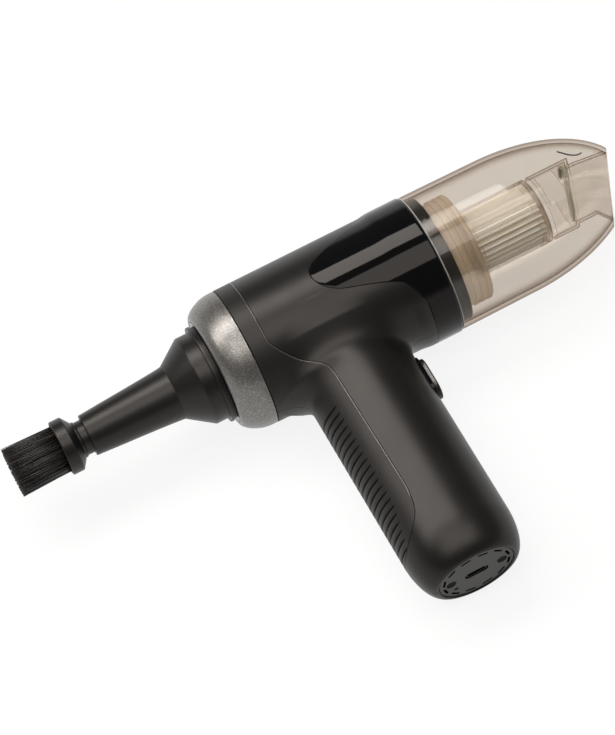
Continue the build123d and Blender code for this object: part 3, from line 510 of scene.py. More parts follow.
def flowing(knots: Curve, steps: int = 12) -> list[tuple[float, float]]:
    """Returns points along a smooth curve through the knots, evenly eased between them."""
    pts = np.array(knots, float)
    ends = np.vstack([2 * pts[0] - pts[1], pts, 2 * pts[-1] - pts[-2]])
    curve = []
    for i in range(1, len(ends) - 2):
        p0, p1, p2, p3 = ends[i - 1 : i + 3]
        square, cube = 2 * p0 - 5 * p1 + 4 * p2 - p3, 3 * p1 - p0 - 3 * p2 + p3
        for t in np.arange(steps) / steps:
            curve.append(0.5 * (2 * p1 + (p2 - p0) * t + square * t**2 + cube * t**3))
    return [(float(x), float(z)) for x, z in [*curve, pts[-1]]]


def moved_sideways(curve: Curve, distance: float) -> list[tuple[float, float]]:
    """Returns a curve moved to its left by a distance."""
    pts = np.array(curve, float)
    run = np.gradient(pts, axis=0)
    run /= np.maximum(np.linalg.norm(run, axis=1, keepdims=True), 1e-9)
    left = np.stack([-run[:, 1], run[:, 0]], axis=1)
    return [(float(x), float(z)) for x, z in pts + left * distance]


def in_scene(name: str, data: Any) -> Piece:
    """Returns a new object of that mesh, lamp or camera, linked to the scene."""
    piece = bpy.data.objects.new(name, data)
    bpy.context.scene.collection.objects.link(piece)
    return piece


def tidy(piece: Piece, sharp: float = 40.0, recalculate: bool = True, merge: float = 1e-6) -> None:
    """Merges doubles, turns normals outwards and shades smooth apart from edges sharper than an angle."""
    work = bmesh.new()
    work.from_mesh(piece.data)
    bmesh.ops.remove_doubles(work, verts=work.verts, dist=merge)
    bmesh.ops.dissolve_degenerate(work, edges=work.edges, dist=merge)
    if recalculate:
        bmesh.ops.recalc_face_normals(work, faces=work.faces)
    work.to_mesh(piece.data)
    work.free()
    piece.data.shade_smooth()
    piece.data.set_sharp_from_angle(angle=math.radians(sharp))


def tubes(name: str, runs: Sequence[Sequence[Any]], looped: bool = False, sharp: float = 40.0) -> Piece:
    """Makes one object of tubes, each of which runs through rings of drawn points.

    Args:
        name: the object's name.
        runs: the rings of each tube, with as many points in every ring.
        looped: whether a tube's last ring joins its first; otherwise both ends are closed.
        sharp: edges that bend more than this many degrees stay sharp.

    Returns:
        The object, placed as the part lies and facing outwards.
    """
    faces: Faces = []
    base = 0
    for rings in runs:
        count, sides = len(rings), len(rings[0])
        for r in range(count if looped else count - 1):
            here, there = base + r * sides, base + (r + 1) % count * sides
            for c in range(sides):
                beside = (c + 1) % sides
                faces.append((here + c, here + beside, there + beside, there + c))
        if not looped:
            last = base + (count - 1) * sides
            faces += [tuple(range(base, base + sides)), tuple(range(last, last + sides))[::-1]]
        base += count * sides
    drawn = np.concatenate([np.asarray(rings, float).reshape(-1, 3) for rings in runs])
    mesh = bpy.data.meshes.new(name)
    mesh.from_pydata(LYING.points(drawn).tolist(), [], faces)
    piece = in_scene(name, mesh)
    tidy(piece, sharp)
    return piece


def lathe(name: str, outline: Curve, segments: int = 160, sharp: float = 40.0) -> Piece:
    """Turns a closed outline of (x, radius) points about the barrel's axis and returns the object."""
    return tubes(name, [[around(x, r, angles(segments)) for x, r in outline]], True, sharp)


def prism(name: str, outline: Curve, reach: float = 45.0) -> Piece:
    """Runs a side outline of (x, z) points right across the cleaner and returns the object."""
    return tubes(name, [[[(x, y, z) for x, z in outline] for y in (-reach, reach)]])


def fine_line(name: str, path: Points, out: Points, radius: float, mirrored: bool = False) -> Piece:
    """Runs a fine round bead along a path that lies on a surface.

    Args:
        name: the object's name.
        path: drawn points in order.
        out: the surface's outward directions at the points, of any length.
        radius: the bead's radius.
        mirrored: whether the far side gets the same bead.

    Returns:
        The object, its ends closed.
    """
    run = np.gradient(path, axis=0)
    run /= np.linalg.norm(run, axis=1, keepdims=True)
    out = out / np.linalg.norm(out, axis=1, keepdims=True)
    turn = angles(8)[None, :, None]
    ring = np.cos(turn) * out[:, None] + np.sin(turn) * np.cross(run, out)[:, None]
    rings = (path - out * radius / 4)[:, None] + ring * radius
    return tubes(name, [rings, rings * (1, -1, 1)] if mirrored else [rings], False, 60.0)


def smooth_copy(node: str, name: str, sharp: float = 32.0) -> Piece:
    """Returns a merged, smooth-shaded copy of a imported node's mesh."""
    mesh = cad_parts[node].data.copy()
    mesh.name = name
    piece = in_scene(name, mesh)
    if mesh.has_custom_normals:
        with bpy.context.temp_override(object=piece, active_object=piece):
            bpy.ops.mesh.customdata_custom_splitnormals_clear()
    tidy(piece, sharp, recalculate=False, merge=2e-6)
    return piece


def combine(piece: Piece, tool: Piece, operation: str = "DIFFERENCE") -> None:
    """Applies a boolean of a tool to a piece and deletes the tool."""
    modifier = piece.modifiers.new("cut", "BOOLEAN")
    modifier.operation, modifier.solver, modifier.object = operation, "EXACT", tool
    bpy.context.view_layer.update()
    result = bpy.data.meshes.new_from_object(piece.evaluated_get(bpy.context.evaluated_depsgraph_get()))
    piece.modifiers.clear()
    old, piece.data = piece.data, result
    tool_mesh = tool.data
    bpy.data.objects.remove(tool)
    for mesh in (old, tool_mesh):
        bpy.data.meshes.remove(mesh)


def vertices(mesh: bpy.types.Mesh) -> Points:
    """Returns a mesh's points as rows."""
    flat = np.zeros(len(mesh.vertices) * 3)
    mesh.vertices.foreach_get("co", flat)
    return flat.reshape(-1, 3)


def set_vertices(mesh: bpy.types.Mesh, drawn: Points) -> None:
    """Moves a mesh's points to drawn rows."""
    mesh.vertices.foreach_set("co", LYING.points(drawn).astype(np.float32).ravel())
    mesh.update()


def dress(piece: Piece, finish: Finish) -> None:
    """Gives a piece its one finish."""
    piece.data.materials.clear()
    piece.data.materials.append(finish.material())


def mount(piece: Piece, finish: Finish, body: Body, *nodes: str) -> None:
    """Dresses a piece and sets the body that it rides on and the nodes that it stands for."""
    dress(piece, finish)
    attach(piece, body.value)
    if nodes:
        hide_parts(*nodes)
    LOG.info("%s: %d faces on %s", piece.name, len(piece.data.polygons), body.value)


# Housing and grip


@dataclass
class Handle:
    """Handle's form: ovals down its length, flared into the barrel and rounded at the foot."""

    rear: float = 26.5
    depth: float = 47.6
    width: float = 42.0
    reach: float = 134.5
    lean: float = 0.7
    top: float = 17.0
    flare_side_start: float = 27.0
    flare_side_growth: float = 3.0
    flare_rear_start: float = 38.5
    flare_rear_radius: float = 9.0
    flare_rear_rise: float = 8.5
    end_height: float = 18.0
    end_width: float = 7.4
    end_share: float = 0.945

    def oval(self, drop: Any) -> tuple[Any, Any, Any]:
        """Section at a drop below the barrel's axis.

        Args:
            drop: how far down, a number or an array.

        Returns:
            The centre's x and the half axes along X and Y.
        """
        drop = np.asarray(drop, float)
        rise = np.minimum(np.maximum(self.flare_rear_start - drop, 0), self.flare_rear_rise)
        rear = self.flare_rear_radius - np.sqrt(self.flare_rear_radius**2 - rise**2)
        share = np.clip((self.flare_side_start - drop) / (self.flare_side_start - self.top), 0, 1)
        side = self.flare_side_growth * share**2
        low = np.clip((drop - self.reach + self.end_height) / self.end_height, 0, 1)
        end = self.end_width * (1 - np.sqrt(1 - low**2 * self.end_share))
        centre = self.rear + self.depth / 2 + self.lean * drop / self.reach - rear / 2
        return centre, (self.depth + rear) / 2 - end, self.width / 2 + side - end

    def ring(self, drop: float, turn: Points, z: float, grow: float = 0.0) -> Points:
        """Returns the section at a drop as points at a height z, grown by a distance."""
        centre, a, b = self.oval(drop)
        return np.stack([centre + (a + grow) * np.cos(turn), (b + grow) * np.sin(turn), z + 0 * turn], axis=1)


@dataclass
class Housing:
    """Two moulded halves that make the barrel and the handle, with the soft grip behind."""

    handle: Handle = field(default_factory=Handle)
    barrel_radius: float = 30.0
    rim_radius: float = 30.6
    start: float = 14.45
    end: float = 87.9
    rim_rise: tuple[float, float] = (80.5, 86.5)
    fillet: float = 7.0
    seam: float = 0.13
    parting: float = 0.18
    grip_sweep: Curve = (
        (22.2, -12.0), (22.6, -14.4), (24.75, -17.5), (27.8, -20.8), (31.1, -24.0), (35.6, -27.6),
        (38.8, -31.0), (40.1, -34.5), (40.4, -38.0),
    )
    grip_tail: Curve = (
        (41.7, -94.5), (41.5, -98.0), (41.1, -101.0), (40.4, -104.6), (39.2, -107.7), (37.3, -110.2),
        (34.7, -112.7), (31.9, -115.1), (29.4, -117.2), (24.5, -120.6),
    )
    edge_radius: float = 0.2
    edge_back: float = 0.3
    band_end: float = 22.2
    rib_top: float = 47.8
    rib_pitch: float = 3.41
    rib_count: int = 21
    rib_edge: float = 34.5
    rib_long: int = 15
    rib_fall: float = 0.75
    rib_fade: float = 2.4
    rib_skin: float = 0.05
    rib_end_width: float = 0.35
    rib_section: Curve = (
        (1.0, 1.5), (0.05, 1.0), (-0.14, 0.58), (-0.34, 0.4), (-0.85, 0.3), (-0.85, -0.3), (-0.34, -0.4),
        (-0.14, -0.58), (0.05, -1.0), (1.0, -1.5),
    )
    recess_gap: float = 0.22
    recess_floor: float = 28.9
    outside: float = 33.0
    core: float = 0.5
    back_edge: Curve = ((0.0, -0.35), (0.12, -0.1), (0.35, 0.0))
    station_step: float = 0.9
    rim_step: float = 0.35
    foot_edge: float = 0.35
    foot_round: Curve = ((0.12, 0.1), (0.4, 0.0))
    foot_rings: int = 26
    joint_drops: tuple[float, float] = (6.0, 56.0)
    slope_step: float = 0.05
    foot_axes: tuple[float, float] = (16.4, 14.2)
    foot_steps: Curve = ((0.32, -131.8), (0.32, -134.08), (0.64, -134.36), (0.64, -136.0))

    def build(self) -> None:
        """Builds, cuts and mounts the housing and the grip."""
        form = self.form()
        grip = in_scene("rear_grip", form.data.copy())
        combine(grip, prism("grip_region", self.grip_outline(-self.seam)), "INTERSECT")
        combine(grip, self.rib_tool())
        combine(form, prism("grip_gap", self.grip_outline(self.seam)))
        for tool in (self.panel_tool(1), self.panel_tool(-1), Button().pocket(), self.foot_pocket()):
            combine(form, tool)
        for piece in (form, grip):
            side = ((-5.0, -140.0), (95.0, -140.0), (95.0, 35.0), (-5.0, 35.0))
            combine(piece, prism("parting_gap", side, self.parting / 2))
            tidy(piece, 34.0, recalculate=False)
        mount(self.raised_edge(), Finish.EDGE, Body.MAIN)
        mount(form, Finish.SOFT_TOUCH, Body.MAIN, "housing_left", "housing_right")
        mount(grip, Finish.GRIP, Body.MAIN, "rear_grip_left", "rear_grip_right")

    def form(self) -> Piece:
        """Returns barrel and handle as one closed skin with a soft fillet between them."""
        barrel = self.barrel()
        combine(barrel, self.column(), "UNION")
        self.relax(barrel.data)
        return barrel

    def radius(self, x: Any) -> Any:
        """Returns the barrel's radius at x."""
        return self.barrel_radius + (self.rim_radius - self.barrel_radius) * smooth_rise(x, *self.rim_rise)

    def barrel(self) -> Piece:
        """Returns the barrel as a closed bar."""
        stations = [*np.arange(self.start + 0.6, self.rim_rise[0], self.station_step)]
        stations += [*np.arange(self.rim_rise[0], self.end - 0.3, self.rim_step)]
        outline = [(self.start, self.core)]
        outline += [(self.start + along, self.barrel_radius + out) for along, out in self.back_edge]
        outline += [(x, float(self.radius(x))) for x in stations]
        return lathe("housing_shell", [*outline, (self.end, self.rim_radius), (self.end, self.core)], 300)

    def column(self) -> Piece:
        """Returns the handle as a closed column that starts inside the barrel."""
        h, turn = self.handle, angles(240)
        start, last = h.reach - h.end_height, self.foot_rings
        drops = [*np.arange(self.joint_drops[0], start, self.station_step)]
        run = h.reach - self.foot_edge - start
        drops += [start + run * math.sin(math.pi / 2 * i / last) for i in range(last + 1)]
        rings = [h.ring(max(drop, h.top), turn, -drop) for drop in drops]
        rings += [h.ring(h.reach, turn, rise - h.reach, -inset) for inset, rise in self.foot_round]
        return tubes("handle_column", [rings])

    def distance(self, p: Points) -> Points:
        """Returns how far drawn points lie outside the filleted form, near the joint."""
        barrel = np.hypot(p[:, 1], p[:, 2]) - self.radius(p[:, 0])
        centre, a, b = self.handle.oval(np.maximum(-p[:, 2], self.handle.top))
        dx, dy = (p[:, 0] - centre), p[:, 1]
        k = np.sqrt((dx / a) ** 2 + (dy / b) ** 2)
        column = (k - 1) * k / np.maximum(np.hypot(dx / a**2, dy / b**2), 1e-6)
        h = np.maximum(self.fillet - np.abs(barrel - column), 0) / self.fillet
        return np.minimum(barrel, column) - h * h * self.fillet / 4

    def slope(self, p: Points) -> Points:
        """Returns how fast the distance grows along each axis at drawn points."""
        here, step = self.distance(p), self.slope_step
        return np.stack([(self.distance(p + axis * step) - here) / step for axis in np.eye(3)], axis=1)

    def relax(self, mesh: bpy.types.Mesh) -> None:
        """Moves the points near the joint of barrel and handle onto the filleted form."""
        p = LYING.drawn(vertices(mesh))
        top, bottom = self.joint_drops
        near = (p[:, 2] < -top) & (p[:, 2] > -bottom)
        near &= (p[:, 0] > self.start + 1.5) & (p[:, 0] < self.end - 0.6)
        q = p[near]
        for _ in range(8):
            slope = self.slope(q)
            q = q - slope * (self.distance(q) / np.maximum((slope**2).sum(1), 0.2))[:, None]
        p[near] = q
        set_vertices(mesh, p)

    def grip_outline(self, grow: float) -> list[tuple[float, float]]:
        """Returns the grip's side outline, grown towards the front by a distance."""
        edge = [(self.band_end, 40.0), (self.band_end, 10.0)]
        edge += flowing(self.grip_sweep, 6) + flowing(self.grip_tail, 6)
        return [*moved_sideways(edge, grow), (5.0, -121.5), (5.0, 40.0)]

    def seam_path(self) -> Points:
        """Returns points on the near surface just inside the grip's seam, from barrel top to bend."""
        turns = np.linspace(math.pi / 2, math.asin(self.grip_sweep[0][1] / self.barrel_radius), 60)[:-1]
        band = around(self.band_end - self.edge_back, self.barrel_radius, turns) * (1, -1, 1)
        straight = np.linspace(self.grip_sweep[-1], self.grip_tail[0], 40)[1:-1]
        side = [*flowing(self.grip_sweep, 10), *map(tuple, straight), *flowing(self.grip_tail[:3], 10)]
        x, z = np.array(moved_sideways(side, -self.edge_back)).T
        low, high = np.zeros_like(x), np.full_like(x, self.outside)
        inside = self.distance(np.stack([x, low, z], axis=1)) < -0.05
        for _ in range(40):
            middle = (low + high) / 2
            out = self.distance(np.stack([x, -middle, z], axis=1)) > 0
            low, high = np.where(out, low, middle), np.where(out, middle, high)
        return np.concatenate([band, np.stack([x, -low, z], axis=1)[inside]])

    def raised_edge(self) -> Piece:
        """Returns the fine polished edge that the grip's moulding leaves along its seam, on both sides."""
        path = self.seam_path()
        return fine_line("grip_edge", path, self.slope(path), self.edge_radius, True)

    def rib_tool(self) -> Piece:
        """Returns the grooves across the back of the grip as one tool, fading out at both ends."""
        grooves = []
        for i in range(self.rib_count):
            middle = self.rib_top + self.rib_pitch * i
            centre, a, b = (float(v) for v in self.handle.oval(middle))
            edge = self.rib_edge - self.rib_fall * max(0, i - self.rib_long)
            limit = math.acos((edge - centre) / a)
            turns = np.linspace(limit, 2 * math.pi - limit, 61)
            rings = []
            for turn in turns:
                left = min(turn - turns[0], turns[-1] - turn) * b
                deep = min(1.0, math.sqrt(max(left, 0.0) / self.rib_fade))
                narrow = self.rib_end_width + (1 - self.rib_end_width) * deep
                c, s, ring = math.cos(turn), math.sin(turn), []
                for out, high in self.rib_section:
                    out = max(out, self.rib_skin + (out - self.rib_skin) * deep)
                    ring.append((centre + (a + out) * c, (b + out) * s, high * narrow - middle))
                rings.append(ring)
            grooves.append(rings)
        return tubes("grip_grooves", grooves)

    def panel_tool(self, side: int) -> Piece:
        """Returns the recess of a gloss panel's tongue on one side."""
        low, high, front = self.recess_floor, self.outside, self.end + 1
        rings = []
        for turn, x in zip(*Panels().edge()):
            if x < self.end - 0.2:
                x -= self.recess_gap
                corners = ((x, low), (x, high), (front, high), (front, low))
                rings.append([(along, side * r * math.cos(turn), r * math.sin(turn)) for along, r in corners])
        return tubes("tongue_recess", [rings])

    def foot_pocket(self) -> Piece:
        """Returns the oval pocket for the foot's plate, with a stepped rim."""
        centre, turn = float(self.handle.oval(self.handle.reach)[0]), angles(120)
        a, b = self.foot_axes
        rings = [
            np.stack([centre + (a + g) * np.cos(turn), (b + g) * np.sin(turn), z + 0 * turn], axis=1)
            for g, z in self.foot_steps
        ]
        return tubes("foot_pocket", [rings])


@dataclass
class Panels:
    """Gloss side panels with tongues that run back along the barrel, and the collar that they make."""

    barrel_radius: float = 30.0
    proud: float = 0.1
    rise: tuple[float, float] = (80.5, 86.5)
    growth: float = 0.6
    body_end: float = 87.9
    nose: float = 98.9
    upper: Curve = (
        (87.9, 27.0), (84.7, 24.0), (74.5, 19.35), (65.7, 15.5), (58.6, 12.05), (54.0, 9.3),
        (51.3, 6.6), (50.2, 3.5),
    )
    lower: Curve = (
        (50.2, 3.5), (50.9, -0.4), (53.5, -4.4), (58.6, -8.04), (67.5, -10.9), (76.0, -13.6), (82.8, -16.7),
        (87.9, -24.0),
    )
    back_edge: Curve = ((0.0, -1.1), (0.0, -0.32), (0.06, -0.16), (0.18, -0.05), (0.4, 0.0))
    front_edge: Curve = ((0.3, -0.05), (0.55, -0.22), (0.7, -0.5), (0.7, -1.9))
    thickness: float = 1.15
    curve_steps: int = 16
    edge_points: int = 180
    arc_points: int = 60
    length_points: int = 40
    gasket: Sequence[tuple[float, float, float]] = (
        (98.8, 28.85, 0.1), (98.8, 30.2, 0.15), (99.75, 30.2, 0.3), (99.75, 28.85, 0.1),
    )

    def edge(self) -> tuple[Points, Points]:
        """Returns angles round the barrel, from a tongue's lower to its upper end, and its x there."""
        upper, lower = flowing(self.upper, self.curve_steps), flowing(self.lower, self.curve_steps)
        curve = np.array(upper + lower[1:])[::-1]
        turns = np.arcsin(np.clip(curve[:, 1] / self.barrel_radius, -1, 1))
        even = np.linspace(turns[0], turns[-1], self.edge_points)
        order = np.argsort(turns)
        return even, np.interp(even, turns[order], curve[order, 0])

    def skin(self, x: Points) -> Points:
        """Returns the panel's outer radius at x."""
        return self.barrel_radius + self.proud + self.growth * smooth_rise(x, *self.rise)

    def build(self) -> None:
        """Builds and mounts the panels as one skin, with the soft gasket in front."""
        turns, starts = self.edge()
        top = np.linspace(turns[-1], math.pi - turns[-1], self.arc_points)[1:-1]
        bottom = np.linspace(math.pi - turns[0], 2 * math.pi + turns[0], self.arc_points)[1:-1]
        angle = np.concatenate([turns, top, math.pi - turns[::-1], bottom])
        collar = np.full_like(top, self.body_end)
        begin = np.concatenate([starts, collar, starts[::-1], collar])
        columns = [(begin + offset, sink) for offset, sink in self.back_edge]
        back = begin + self.back_edge[-1][0]
        shares = np.linspace(0, 1, self.length_points)[1:]
        columns += [(back + (self.nose - back) * share, 0.0) for share in shares]
        columns += [(0 * begin + self.nose + offset, sink) for offset, sink in self.front_edge]
        columns.append((begin, -self.thickness))
        rings = [around(x, self.skin(x) + sink, angle) for x, sink in columns]
        skin = tubes("gloss_panels", [rings], True, 50.0)
        mount(skin, Finish.GLOSS, Body.MAIN, "gloss_panel_left", "gloss_panel_right")
        mount(lathe("cup_seal", eased(self.gasket)), Finish.RUBBER, Body.MAIN, "cup_gasket")


# Rear outlet, nozzle and brush


@dataclass
class Outlet:
    """Metal-painted ring round the rear outlet."""

    dome: Curve = (
        (0.2, 23.9), (0.55, 24.8), (1.3, 25.7), (3.7, 27.55), (7.7, 29.25), (11.0, 29.85), (14.0, 29.9),
    )
    lip: Curve = ((0.5, 22.8), (0.28, 23.1), (0.2, 23.5))
    back: Curve = ((14.35, 29.55), (14.35, 28.3), (8.0, 27.6), (1.8, 22.8))

    def build(self) -> None:
        """Builds and mounts the ring."""
        ring = lathe("outlet_ring_skin", [*self.lip, *flowing(self.dome, 8), *self.back], 200, 28.0)
        mount(ring, Finish.GUNMETAL, Body.MAIN, "outlet_ring")


@dataclass
class Nozzle:
    """Cone-shaped blower nozzle that plugs into the outlet."""

    taper: Curve = ((-19.0, 11.8), (-25.0, 11.25), (-36.0, 10.45), (-47.0, 9.75), (-57.5, 9.0))
    bore: Sequence[tuple[float, float, float]] = (
        (14.0, 17.3, 0.3), (14.0, 15.8, 0.2), (-8.3, 15.8, 0.0), (-19.0, 10.2, 0.0), (-49.8, 7.36, 0.0),
        (-57.9, 7.36, 0.1), (-57.9, 9.0, 0.35),
    )
    flange: Sequence[tuple[float, float, float]] = (
        (-19.0, 11.8, 0.5), (-8.3, 19.4, 0.3), (-2.6, 19.4, 0.12), (-2.6, 21.4, 0.25), (-1.2, 21.4, 0.15),
        (-1.2, 20.7, 0.08), (0.15, 20.7, 0.12), (0.15, 17.3, 0.1),
    )

    def build(self) -> None:
        """Builds and mounts the nozzle."""
        taper = flowing(self.taper, 5)[-2:0:-1]
        outline = [*eased(self.bore), *taper, *eased(self.flange)[1:]]
        mount(lathe("nozzle_skin", outline, 180), Finish.NOZZLE, Body.NOZZLE, "blower_nozzle")


@dataclass
class Brush:
    """Round brush head that pushes into the nozzle's tip, with bristles spread on a ring of points."""

    root: float = -67.5
    tip: float = -92.4
    inner: float = 5.9
    outer: float = 9.9
    strands: int = 900
    tufts: float = 15.0
    gather: float = 0.85
    spread: float = 1.06
    thickness: float = 0.22
    taper: float = 0.6
    golden_angle: float = 2.399963
    jitter: float = 0.35
    lean: float = 0.014
    lengths: tuple[float, float] = (0.965, 0.995)
    seed: int = 7
    collar: Sequence[tuple[float, float, float]] = (
        (-49.95, 5.4, 0.2), (-49.95, 7.3, 0.3), (-60.9, 7.3, 0.1), (-61.3, 7.75, 0.15), (-62.2, 7.9, 0.1),
        (-65.0, 11.8, 0.15), (-65.3, 11.9, 0.1), (-69.8, 11.9, 0.35), (-70.1, 11.5, 0.15),
        (-70.1, 10.95, 0.1), (-67.5, 10.95, 0.1), (-67.5, 5.4, 0.1),
    )

    def build(self) -> None:
        """Builds and mounts the collar and the bristles."""
        mount(lathe("brush_head", eased(self.collar), 144), Finish.NOZZLE, Body.BRUSH, "brush_collar")
        bunch = self.bristles()
        mount(bunch, Finish.BRISTLE, Body.BRUSH, "bristles_1", "bristles_2", "bristles_3", "bristles_4")

    def bristles(self) -> Piece:
        """Returns the bristles, made by a geometry node tree and turned into one mesh."""
        tree = bpy.data.node_groups.new("bristle_bunch", "GeometryNodeTree")
        tree.interface.new_socket("Geometry", in_out="OUTPUT", socket_type="NodeSocketGeometry")
        values = {
            "Strands": self.strands,
            "Inner": self.inner / 1000,
            "Outer": self.outer / 1000,
            "Thickness": self.thickness / 1000,
            "Length": (self.root - self.tip) / 1000,
            "Spread": self.spread,
            "Tufts": self.tufts,
            "Seed": self.seed,
        }
        carrier = in_scene("bristle_carrier", bpy.data.meshes.new("bristle_carrier"))
        modifier = carrier.modifiers.new("bunch", "NODES")
        keys = {}
        for name, value in values.items():
            kind = "NodeSocketInt" if isinstance(value, int) else "NodeSocketFloat"
            keys[name] = tree.interface.new_socket(name, in_out="INPUT", socket_type=kind).identifier
        self.grow(Graph(tree))
        modifier.node_group = tree
        for name, key in keys.items():
            modifier[key] = values[name]
        bpy.context.view_layer.update()
        mesh = bpy.data.meshes.new_from_object(carrier.evaluated_get(bpy.context.evaluated_depsgraph_get()))
        bpy.data.objects.remove(carrier)
        set_vertices(mesh, vertices(mesh) * 1000.0 + (self.root, 0, 0))
        mesh.shade_smooth()
        return in_scene("bristle_bunch", mesh)

    def drawn(self, graph: Graph, kind: str, seed: Term, *limits: Any) -> Term:
        """Returns a random value for each strand, a number or a vector, between the limits."""
        out = 1 if kind == "FLOAT" else 0
        return graph.term("FunctionNodeRandomValue", {"data_type": kind}, *limits, Seed=seed, out=out)

    def grow(self, graph: Graph) -> None:
        """Fills the node tree: gathered roots on a ring, and a leaning tapered strand on each."""
        given = {socket.name: Term(graph, socket) for socket in graph.node("NodeGroupInput", {}).outputs}
        inner, outer, tufts, length = (given[name] for name in ("Inner", "Outer", "Tufts", "Length"))
        index = graph.term("GeometryNodeInputIndex", {})
        angle = index * self.golden_angle
        play, sway = self.jitter / 1000, self.lean
        jitter = self.drawn(graph, "FLOAT", given["Seed"], None, None, -play, play)
        lean = self.drawn(graph, "FLOAT_VECTOR", given["Seed"], (0.0, -sway, -sway), (0.0, sway, sway))
        reach = self.drawn(graph, "FLOAT", given["Seed"], None, None, *self.lengths)
        inner_square, outer_square = inner * inner, outer * outer
        area = inner_square + index / given["Strands"] * (outer_square - inner_square)
        radius = (area.sum("SQRT") + jitter).sum("MINIMUM", outer)
        gathered = angle - (angle * tufts).sum("SINE") / tufts * self.gather
        roots = {kind: radius * gathered.sum(kind) for kind in ("COSINE", "SINE")}
        place = graph.term("ShaderNodeCombineXYZ", {}, Y=roots["COSINE"], Z=roots["SINE"])
        points = graph.term("GeometryNodePoints", {}, Count=given["Strands"], Position=place)
        wide = radius * given["Spread"]
        tilt = {kind: (wide * angle.sum(kind) - root) / length for kind, root in roots.items()}
        out = graph.term("ShaderNodeCombineXYZ", {}, X=-1.0, Y=tilt["COSINE"], Z=tilt["SINE"])
        toward = graph.term("ShaderNodeVectorMath", {"operation": "ADD"}, out, lean)
        turn = graph.term("FunctionNodeAlignRotationToVector", {"axis": "Z"}, Vector=toward)
        strand = graph.term(
            "GeometryNodeMeshCone", {"fill_type": "NGON"}, Vertices=5, Depth=length,
            Radius_Top=given["Thickness"] * self.taper, Radius_Bottom=given["Thickness"],
        )
        size = graph.term("ShaderNodeCombineXYZ", {}, X=1.0, Y=1.0, Z=reach)
        placed = graph.term(
            "GeometryNodeInstanceOnPoints", {}, Points=points, Instance=strand, Rotation=turn, Scale=size,
        )
        solid = graph.term("GeometryNodeRealizeInstances", {}, Geometry=placed)
        fibre = Finish.BRISTLE.material()
        graph.node("NodeGroupOutput", {}, graph.term("GeometryNodeSetMaterial", {}, solid, Material=fibre))


# Clear cup and what shows through it


@dataclass
class Cup:
    """Smoked clear cup with an ogive nose, cut off aslant at the mouth."""

    start: float = 99.9
    nose_start: float = 135.0
    nose_length: float = 56.8
    radius: float = 30.2
    nose_radius: float = 29.9
    wall: float = 1.7
    mouth: float = 184.6
    slope: float = 0.4348
    lip: float = 0.12
    segments: int = 220
    rim: Sequence[tuple[float, float, float]] = (
        (99.9, 29.2, 0.05), (99.9, 30.24, 0.12), (100.3, 30.24, 0.1), (100.3, 29.2, 0.05),
    )
    notch: Curve = ((165.9, 7.8), (167.4, 6.1), (169.5, 4.1), (172.4, 3.1), (175.1, 3.8))
    notch_radius: float = 0.3

    def outer(self, x: Points, inset: float) -> Points:
        """Returns the cup's radius at x, moved in by an inset."""
        narrowing = (self.nose_radius - self.radius) * (x - self.start) / (self.nose_start - self.start)
        share = np.clip((x - self.nose_start) / (self.nose_length - inset), 0, 0.9999)
        nose = (self.nose_radius - inset) * np.sqrt(1 - share**2)
        return np.where(x < self.nose_start, self.radius - inset + narrowing, nose)

    def end(self, turn: Points, inset: float) -> Points:
        """Returns where the mouth's plane cuts the skin at each angle."""
        x = np.full_like(turn, self.mouth)
        for _ in range(60):
            x = 0.5 * x + 0.5 * (self.mouth + self.slope * self.outer(x, inset) * np.sin(turn))
        return x

    def build(self) -> None:
        """Builds and mounts the cup's wall, its rim and notch, the duct and the flap."""
        turn = angles(self.segments)
        shares = 1 - (1 - np.linspace(0, 1, 64)) ** 1.25
        rings = []
        for inset, order in ((0.0, shares), (self.wall, shares[::-1])):
            end = self.end(turn, inset)
            for share in order:
                x = self.start + (end - self.start) * share
                lip = self.lip if share in (0.0, 1.0) and inset == 0.0 else 0.0
                rings.append(around(x, self.outer(x, inset) - lip, turn))
        mount(tubes("cup_wall", [rings], True, 50.0), Finish.SMOKED, Body.CUP, "dust_cup")
        # The rim ring's light grey colour is a painted highlight along the cup's rear edge.
        mount(lathe("cup_rim", eased(self.rim)), Finish.RIM_PAINTED_HIGHLIGHT, Body.CUP)
        mount(self.thumb_notch(), Finish.NOTCH, Body.CUP)
        mount(smooth_copy("inlet_duct", "duct_skin"), Finish.CLEAR, Body.CUP, "inlet_duct")
        mount(smooth_copy("inlet_flap", "flap_skin"), Finish.FLAP, Body.FLAP, "inlet_flap")

    def thumb_notch(self) -> Piece:
        """Returns the dark curved edge of the thumb notch, just under the skin near the mouth."""
        x, z = np.array(flowing(self.notch, 8)).T
        depth = np.sqrt(self.outer(x, self.wall * 0.6) ** 2 - z**2)
        path = np.stack([x, -depth, z], axis=1)
        return fine_line("cup_notch", path, path * (0, 1, 1), self.notch_radius)


